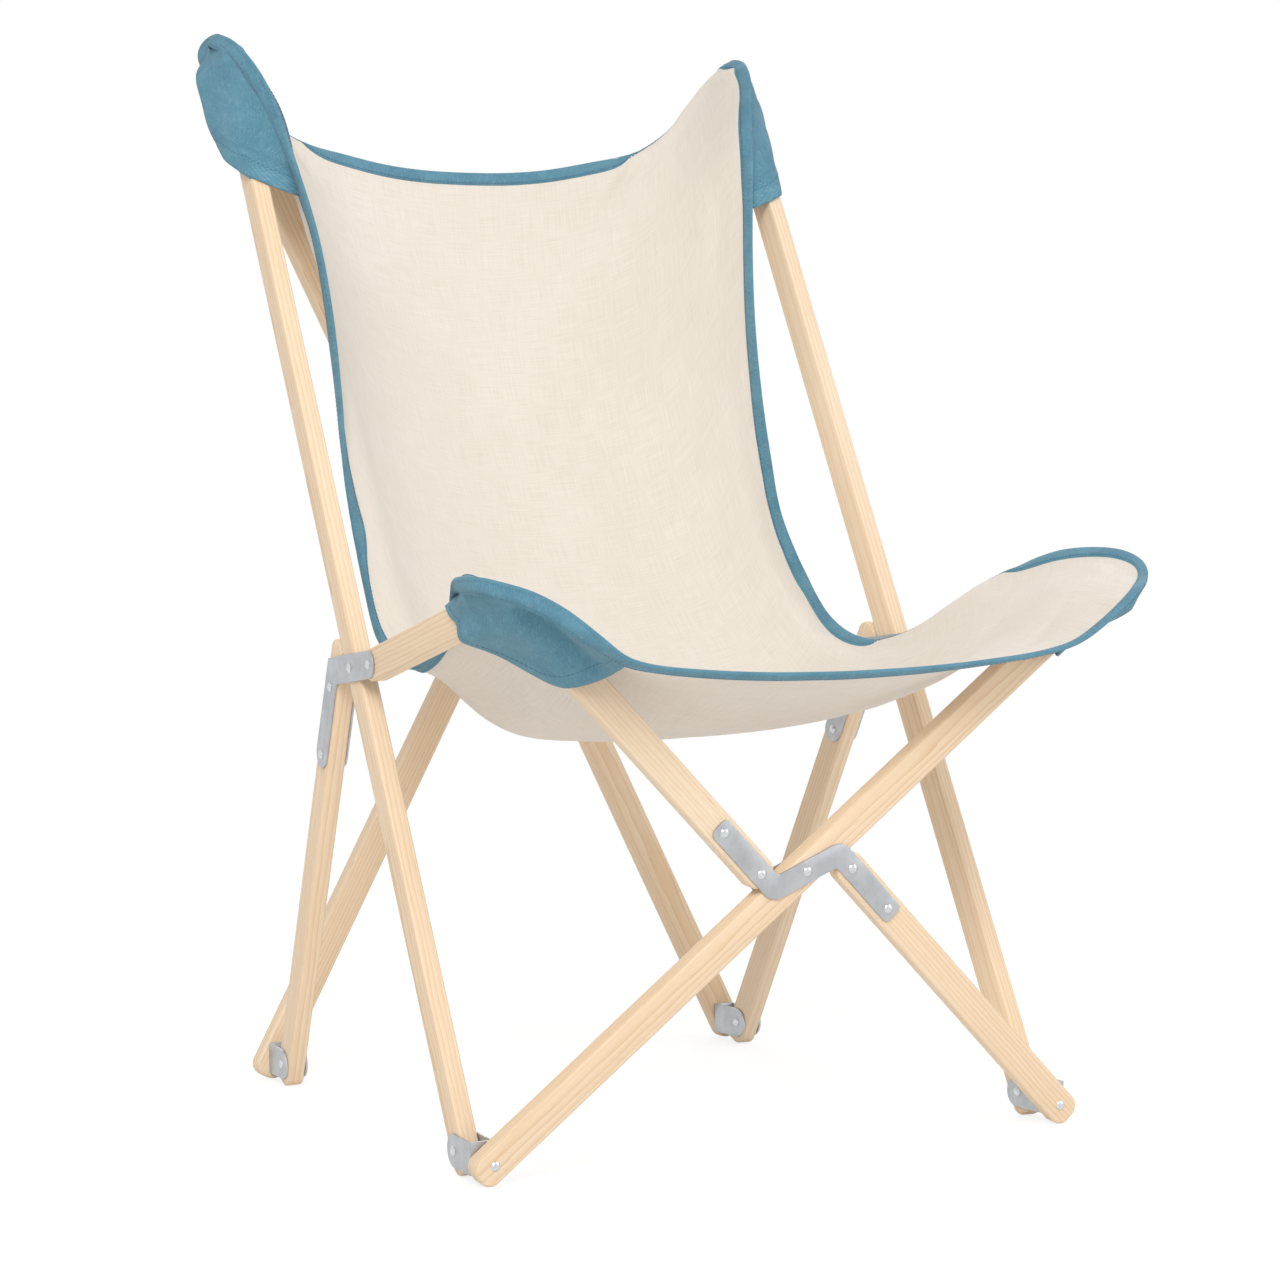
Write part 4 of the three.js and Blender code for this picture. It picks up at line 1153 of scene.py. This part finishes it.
def scaled_to_one(ways):
    return ways / np.linalg.norm(ways, axis=-1, keepdims=True)


def square_to(along, ways):
    """Ways without their part along another."""
    return ways - along * (ways * along).sum(1, keepdims=True)


def steps_from(place):
    """How many steps lie between each point of the rim and one of its places, the short way round."""
    return np.abs((np.arange(RIM_COUNT) - place + RIM_COUNT // 2) % RIM_COUNT - RIM_COUNT // 2)


def outward_of(row, side):
    """The way that a corner's pocket looks, out of the chair."""
    hand = HAND[side]
    return unit(0.97 * hand, -0.15, -0.1) if row == "back" else unit(0.42 * hand, -0.28, -0.86)


tangent = scaled_to_one(smooth_loop(np.roll(edge, -1, 0) - np.roll(edge, 1, 0), 4))
nearest = np.clip(np.searchsorted(rim_run, steps), 0, len(rim_s) - 1)
inset = on_sling(np.clip(rim_s[nearest], -0.965, 0.965), np.clip(rim_t[nearest], 0.009, 0.991))
inward = smooth_loop(square_to(tangent, inset - edge), 10)
inward = scaled_to_one(square_to(tangent, inward))
edge_normal = np.cross(inward, tangent)
flat_normal = sling_normal(np.clip(rim_s[nearest], -0.9, 0.9), np.clip(rim_t[nearest], 0.03, 0.97))
if (edge_normal * flat_normal).sum(1).mean() < 0:
    edge_normal = -edge_normal


def laid_on_canvas(places, most):
    """Points moved to the nearest place of the canvas, if it isn't too far."""
    laid = places.copy()
    for i, p in enumerate(places):
        found = canvas_tree.find_nearest(Vector(p), most)
        if found[0] is not None:
            laid[i] = found[0]
    return laid


# Lines nearer the edge than this belong to the band's roll round it, and aren't laid on the canvas
EDGE_ROLL = 0.003


def rim_line(distance, height, collar=False):
    """A line round the rim, so far in from the edge and so far off the cloth, away from the sitter.
    The collar part stands off the canvas where a pocket is sewn to it."""
    base = edge + inward * np.reshape(distance, (-1, 1))
    if np.max(distance) > EDGE_ROLL:
        base = laid_on_canvas(smooth_loop(laid_on_canvas(base, 0.02), 3), 0.004)
    line = base + edge_normal * height
    if collar:
        lifted = edge + collar_way * np.reshape(distance, (-1, 1)) + collar_normal * height
        line = line + collar_share[:, None] * (lifted - line)
    return line


# The band is narrowest along the front, and its outer part is wider over a pocket
BAND_AT_SIDES = 0.0128
BAND_AT_BACK = 0.0122
BAND_AT_FRONT = 0.0078
BAND_OUTSIDE = 0.0100
BAND_OVER_POCKET = 0.0045
band_inside = np.full(RIM_COUNT, BAND_AT_SIDES)
band_inside[:tip_at["back", "right"]] = BAND_AT_BACK
band_inside[tip_at["seat", "right"]:tip_at["seat", "left"]] = BAND_AT_FRONT
band_inside = smooth_loop(band_inside, 60)
band_outside = np.full(RIM_COUNT, BAND_OUTSIDE)
collar_share = np.zeros(RIM_COUNT)
for corner, runs in POCKET_RUN.items():
    ends = BACK_CUTS if corner[0] == "back" else SEAT_CUTS
    way_round = cross_step(*corner)
    for step, run in ((way_round, runs[0] * ends[0][1]), (-way_round, runs[1] * ends[-1][1])):
        for n in range(int((run + 0.04) / RIM_STEP)):
            wide = BAND_OUTSIDE + BAND_OVER_POCKET * ease((run + 0.03 - n * RIM_STEP) / 0.03)
            place = (tip_at[corner] + step * n) % RIM_COUNT
            band_outside[place] = max(band_outside[place], wide)
            collar_share[place] = max(collar_share[place], ease((run - n * RIM_STEP) / (0.4 * run)))
COLLAR_LIFT = math.radians(58)
lift_way = edge_normal.copy()
for side in HAND:
    away = steps_from(tip_at["back", side]) * RIM_STEP
    lift_way = lift_way + np.exp(-((away / 0.035) ** 2))[:, None] * outward_of("back", side)
lift_way = scaled_to_one(square_to(inward, smooth_loop(lift_way, 12)))
collar_way = inward * math.cos(COLLAR_LIFT) + lift_way * math.sin(COLLAR_LIFT)
collar_normal = lift_way * math.cos(COLLAR_LIFT) - inward * math.sin(COLLAR_LIFT)


# Corner pockets

POCKET_ROWS = 48
POCKET_COLUMNS = 72
WRINKLE_HEIGHT = 0.0018
CLEAR_OF_CANVAS = 0.006
BOX_EDGES = [(0, 1), (2, 3), (4, 5), (6, 7), (0, 2), (1, 3), (4, 6), (5, 7), (0, 4), (1, 5), (2, 6), (3, 7)]


def box_corners(middle, axes, half):
    signs = [(a, b, c) for a in (-1, 1) for b in (-1, 1) for c in (-1, 1)]
    return np.array([middle + (np.array(sign) * half) @ axes for sign in signs])


def stay(start, end):
    """A thin box along a line of the pocket's own fullness, on the plan in millimetres."""
    start = np.array(start) / 1000 + np.array(PLAN_SHIFT)
    end = np.array(end) / 1000 + np.array(PLAN_SHIFT)
    along = unit(*(end - start))
    across = unit(*np.cross(along, (0.3, 0.5, 0.8)))
    axes = np.stack([along, across, np.cross(along, across)])
    return box_corners((start + end) / 2, axes, np.array([np.linalg.norm(end - start) / 2, 0.001, 0.001]))


def crossings(corners, origin, normal):
    """Where a plane cuts the edges of a box."""
    heights = (corners - origin) @ normal
    found = []
    for i, j in BOX_EDGES:
        if heights[i] * heights[j] < 0:
            k = heights[i] / (heights[i] - heights[j])
            found.append(corners[i] + k * (corners[j] - corners[i]))
    return found


def taut_line(points):
    """The taut line over the tops of points given as (along, out)."""
    chain = []
    for p in sorted(points):
        while len(chain) >= 2:
            (ax, ay), (bx, by) = chain[-2], chain[-1]
            if (bx - ax) * (p[1] - ay) - (by - ay) * (p[0] - ax) >= 0:
                chain.pop()
            else:
                break
        chain.append(p)
    return np.array(chain)


def even_points(chain, count):
    """Evenly spaced points along a line, and its length."""
    run = run_along(chain)
    return read_line(np.linspace(0, run[-1], count), run, chain), run[-1]


# The seam between pocket and band lies nearer the edge at a tip
from_tips = np.min([steps_from(place) for place in tip_at.values()], axis=0) * RIM_STEP
seam_inset = 0.0045 + 0.0055 * np.exp(-((from_tips / 0.018) ** 2))
seam = rim_line(band_outside - seam_inset, 0.0012, True)


def on_seam(tip, distance, step):
    """The place on the seam at a distance from a tip, one way or the other round the rim."""
    place = (tip + step * distance / rim_run[-1] * RIM_COUNT) % RIM_COUNT
    low = int(place)
    k = place - low
    return (1 - k) * seam[low] + k * seam[(low + 1) % RIM_COUNT]


def stretched_cup(row, side, boxes):
    """Rows of points from seam to seam, each row taut over the boxes, and the length of each row."""
    tip = tip_at[row, side]
    outward = outward_of(row, side)
    along_cross, along_side = POCKET_RUN[row, side]
    way_round = cross_step(row, side)
    sections, widths = [], []
    for v in np.linspace(0.005, 1, POCKET_ROWS):
        first = on_seam(tip, along_cross * v, way_round)
        second = on_seam(tip, along_side * v, -way_round)
        width = np.linalg.norm(second - first)
        chord = (second - first) / width
        out = unit(*(outward - chord * (outward @ chord)))
        normal = np.cross(chord, out)
        flat = [(0.0, 0.0), (width, 0.0)]
        for corners in boxes:
            for p in crossings(corners, first, normal):
                place = (min(max((p - first) @ chord, 0.0), width), (p - first) @ out)
                if place[1] > 0:
                    flat.append(place)
        line, length = even_points(taut_line(flat), POCKET_COLUMNS)
        line[0], line[-1] = (0, 0), (width, 0)
        sections.append(first + line[:, :1] * chord + line[:, 1:] * out)
        widths.append(length)
    return np.array(sections), np.array(widths)


def settled_cup(grid, held, outward):
    """The rows smoothed into one cloth that stays clear of the bars in it."""
    for _ in range(30):
        inner = grid.copy()
        inner[1:-1, 1:-1] = 0.4 * grid[1:-1, 1:-1] + 0.6 * neighbour_mean(grid)
        for end in (0, -1):
            inner[end, 1:-1] = 0.5 * grid[end, 1:-1] + 0.25 * (grid[end, :-2] + grid[end, 2:])
        inner[:, 1:-1] = wrapped_round(inner[:, 1:-1], held, outward, CLEAR_OF_BARS)
        grid = inner
    return grid


def cut_to_mouth(grid, cuts):
    """The cloth cut to the line of the pocket's mouth, which is then evened out."""
    share = np.interp(np.linspace(0, 1, POCKET_COLUMNS), *zip(*cuts))
    for _ in range(12):
        share[1:-1] = 0.5 * share[1:-1] + 0.25 * (share[:-2] + share[2:])
    rows = np.arange(POCKET_ROWS)
    for j in range(POCKET_COLUMNS):
        grid[:, j] = read_line(rows * share[j], rows, grid[:, j])
    for _ in range(4):
        level = 0.25 * (grid[:, :-2] + grid[:, 2:]) - 0.5 * grid[:, 1:-1]
        grid[:, 1:-1] += ease((rows - 24) / 16)[:, None, None] * level
    return grid


def wrinkled(grid, normals, hollows):
    """The cloth with fine wrinkles, and with hollows as deep as the canvas behind it leaves room for."""
    u = np.linspace(0, 1, POCKET_COLUMNS)[None, :]
    v = np.linspace(0, 1, POCKET_ROWS)[:, None]
    inside = ease(u / 0.1) * ease((1 - u) / 0.1) * ease(v / 0.15)
    height = inside * WRINKLE_HEIGHT * unevenness(grid, 26.0)
    for centre, wide, start, depth in hollows:
        sunk = np.exp(-(((u - centre) / wide) ** 2)) * ease(u / 0.10)
        height = height - depth * sunk * ease((v - start) / 0.3) * (1 - 0.9 * ease((v - 0.7) / 0.3))
    room = np.array([canvas_tree.find_nearest(Vector(p))[3] for p in grid.reshape(-1, 3)])
    height = np.maximum(height, -np.maximum(room.reshape(height.shape) - CLEAR_OF_CANVAS, 0))
    return grid + normals * height[..., None]


def give_thickness(piece):
    thick = piece.modifiers.new("cloth_thickness", "SOLIDIFY")
    thick.thickness = CANVAS_THICKNESS
    thick.offset = 0
    apply_all(piece)


def make_pocket(row, side, cuts, stays, hollows):
    """A cup of cloth sewn in along the rim of a corner and stretched over two bar ends."""
    hand = HAND[side]
    outward = outward_of(row, side)
    held = HELD_BARS[row, side]
    boxes = []
    for name in held:
        middle, axes, half = bar_boxes[name]
        boxes.append(box_corners(middle, axes, half + CLEAR_OF_BARS))
    boxes += [stay((hand * a[0], *a[1:]), (hand * b[0], *b[1:])) for a, b in stays]
    grid, widths = stretched_cup(row, side, boxes)
    grid = cut_to_mouth(settled_cup(grid, held, outward), cuts)
    normals = np.cross(np.gradient(grid, axis=1), np.gradient(grid, axis=0))
    turned = (normals.reshape(-1, 3) @ outward).mean() < 0
    normals = normals / np.maximum(np.linalg.norm(normals, axis=-1, keepdims=True), 1e-9)
    normals = -normals if turned else normals
    grid = wrinkled(grid, normals, hollows)
    grid[:, 1:-1] = wrapped_round(grid[:, 1:-1], held, outward, CLEAR_OF_BARS - 0.001)
    place_u = np.linspace(-0.5, 0.5, POCKET_COLUMNS) * widths[:, None]
    run_v = run_along(grid[:, POCKET_COLUMNS // 2])
    uv = np.stack([place_u, np.broadcast_to(run_v[:, None], place_u.shape)], -1).reshape(-1, 2)
    faces = grid_faces(POCKET_ROWS, POCKET_COLUMNS)
    faces = [tuple(reversed(f)) for f in faces] if turned else faces
    piece = mesh_piece(f"sling_pocket_{row}_{side}_cloth", grid.reshape(-1, 3), faces, uv, TWILL)
    give_thickness(piece)
    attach(piece, "sling")
    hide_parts(f"sling_pocket_{row}_{side}")
    return piece, grid, normals


# Lines of fullness in a pocket, and hollows as place across, half width, start down it and depth
BACK_STAYS = [((318, 575, 1020), (325, 557, 1010)), ((325, 557, 1010), (319, 494, 895))]
SEAT_STAYS = [((335, -40, 505), (343, -88, 506))]
SEAT_HOLLOWS = [(0.17, 0.11, 0.25, 0.023)]
pockets = [
    make_pocket("back", "left", BACK_CUTS, BACK_STAYS, []),
    make_pocket("back", "right", BACK_CUTS, BACK_STAYS, []),
    make_pocket("seat", "left", SEAT_CUTS, SEAT_STAYS, SEAT_HOLLOWS),
    make_pocket("seat", "right", SEAT_CUTS, SEAT_STAYS, SEAT_HOLLOWS),
]
pocket_pieces = [piece for piece, _, _ in pockets]


# Binding and stitching

band_lines = [
    rim_line(band_inside, -0.0006),
    rim_line(band_inside - 0.0004, -0.0017),
    rim_line(0.0060, -0.0021),
    rim_line(0.0020, -0.0022),
    rim_line(-0.0004, -0.0018),
    rim_line(-0.0016, -0.0008),
    rim_line(-0.0016, 0.0010),
    rim_line(-0.0004, 0.0021),
    rim_line(0.0020, 0.0026, True),
    rim_line(0.0070, 0.0028, True),
    rim_line(band_outside - 0.0005, 0.0029, True),
    rim_line(band_outside, 0.0006, True),
]
BAND_SIDES = len(band_lines)
band_grid = np.stack(band_lines, 1)
band_faces = []
for i in range(RIM_COUNT):
    n = (i + 1) % RIM_COUNT
    for j in range(BAND_SIDES):
        m = (j + 1) % BAND_SIDES
        band_faces.append((i * BAND_SIDES + j, n * BAND_SIDES + j, n * BAND_SIDES + m, i * BAND_SIDES + m))
profile_run = run_along(band_grid[0])
band_uv = np.stack(np.broadcast_arrays(steps[:, None], profile_run[None, :]), -1).reshape(-1, 2)
binding = mesh_piece("sling_binding_band", band_grid.reshape(-1, 3), band_faces, band_uv, TWILL)


def face_outward(piece):
    pick(piece)
    bpy.ops.object.mode_set(mode="EDIT")
    bpy.ops.mesh.select_all(action="SELECT")
    bpy.ops.mesh.normals_make_consistent(inside=False)
    bpy.ops.object.mode_set(mode="OBJECT")


face_outward(binding)
give_thickness(canvas)

STITCH_PITCH = 0.0046
STITCH_LENGTH = 0.0034
STITCH_WIDTH = 0.0009


def stitches(name, lines):
    """Rows of thread, each stitch a low bead along its line, given as (points, directions out)."""
    points, faces = [], []
    for line, out in lines:
        run = run_along(line)
        for place in np.arange(STITCH_PITCH, run[-1] - STITCH_PITCH, STITCH_PITCH):
            ends = [read_line(place + d, run, line) for d in (-STITCH_LENGTH / 2, STITCH_LENGTH / 2)]
            n = read_line(place, run, out)
            heading = unit(*(ends[1] - ends[0]))
            side = unit(*np.cross(n, heading)) * STITCH_WIDTH / 2
            first = len(points)
            for share, size in ((0.0, 0.35), (0.2, 1.0), (0.8, 1.0), (1.0, 0.35)):
                centre = ends[0] + (ends[1] - ends[0]) * share
                rise = n * STITCH_WIDTH * (0.4 if size == 1.0 else 0.1)
                low = centre - n * 0.0004
                points.extend([low - side * size, centre + rise, low + side * size])
            for k in range(3):
                a, b = first + 3 * k, first + 3 * k + 3
                faces.extend([(a, a + 1, b + 1, b), (a + 1, a + 2, b + 2, b + 1), (a + 2, a, b, b + 2)])
            faces.extend([(first + 2, first + 1, first), (first + 9, first + 10, first + 11)])
    mesh = bpy.data.meshes.new(name)
    mesh.from_pydata([tuple(p) for p in points], [], faces)
    mesh.materials.append(THREAD)
    piece = bpy.data.objects.new(name, mesh)
    bpy.context.scene.collection.objects.link(piece)
    face_outward(piece)
    bpy.ops.object.shade_smooth_by_angle(angle=math.radians(60))
    return piece


HEM_ROW = -5
HEM_LIFT = CANVAS_THICKNESS / 2 + 0.0001
collar_out = edge_normal + collar_share[:, None] * (collar_normal - edge_normal)
stitch_lines = [
    (rim_line(band_inside - 0.0024, -0.0020), -edge_normal),
    (rim_line(band_outside - 0.0026, 0.0028, True), collar_out),
]
for _, grid, normals in pockets:
    stitch_lines.append((grid[HEM_ROW] + normals[HEM_ROW] * HEM_LIFT, normals[HEM_ROW]))
thread = stitches("sling_stitching", stitch_lines)

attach(canvas, "sling")
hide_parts("sling_canvas")
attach(binding, "sling")
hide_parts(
    "sling_binding_left", "sling_binding_right", "sling_binding_back", "sling_binding_front"
)
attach(thread, "sling")

SLING_PIECES = [canvas, binding, thread, *pocket_pieces]
for piece in SLING_PIECES:
    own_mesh(piece)
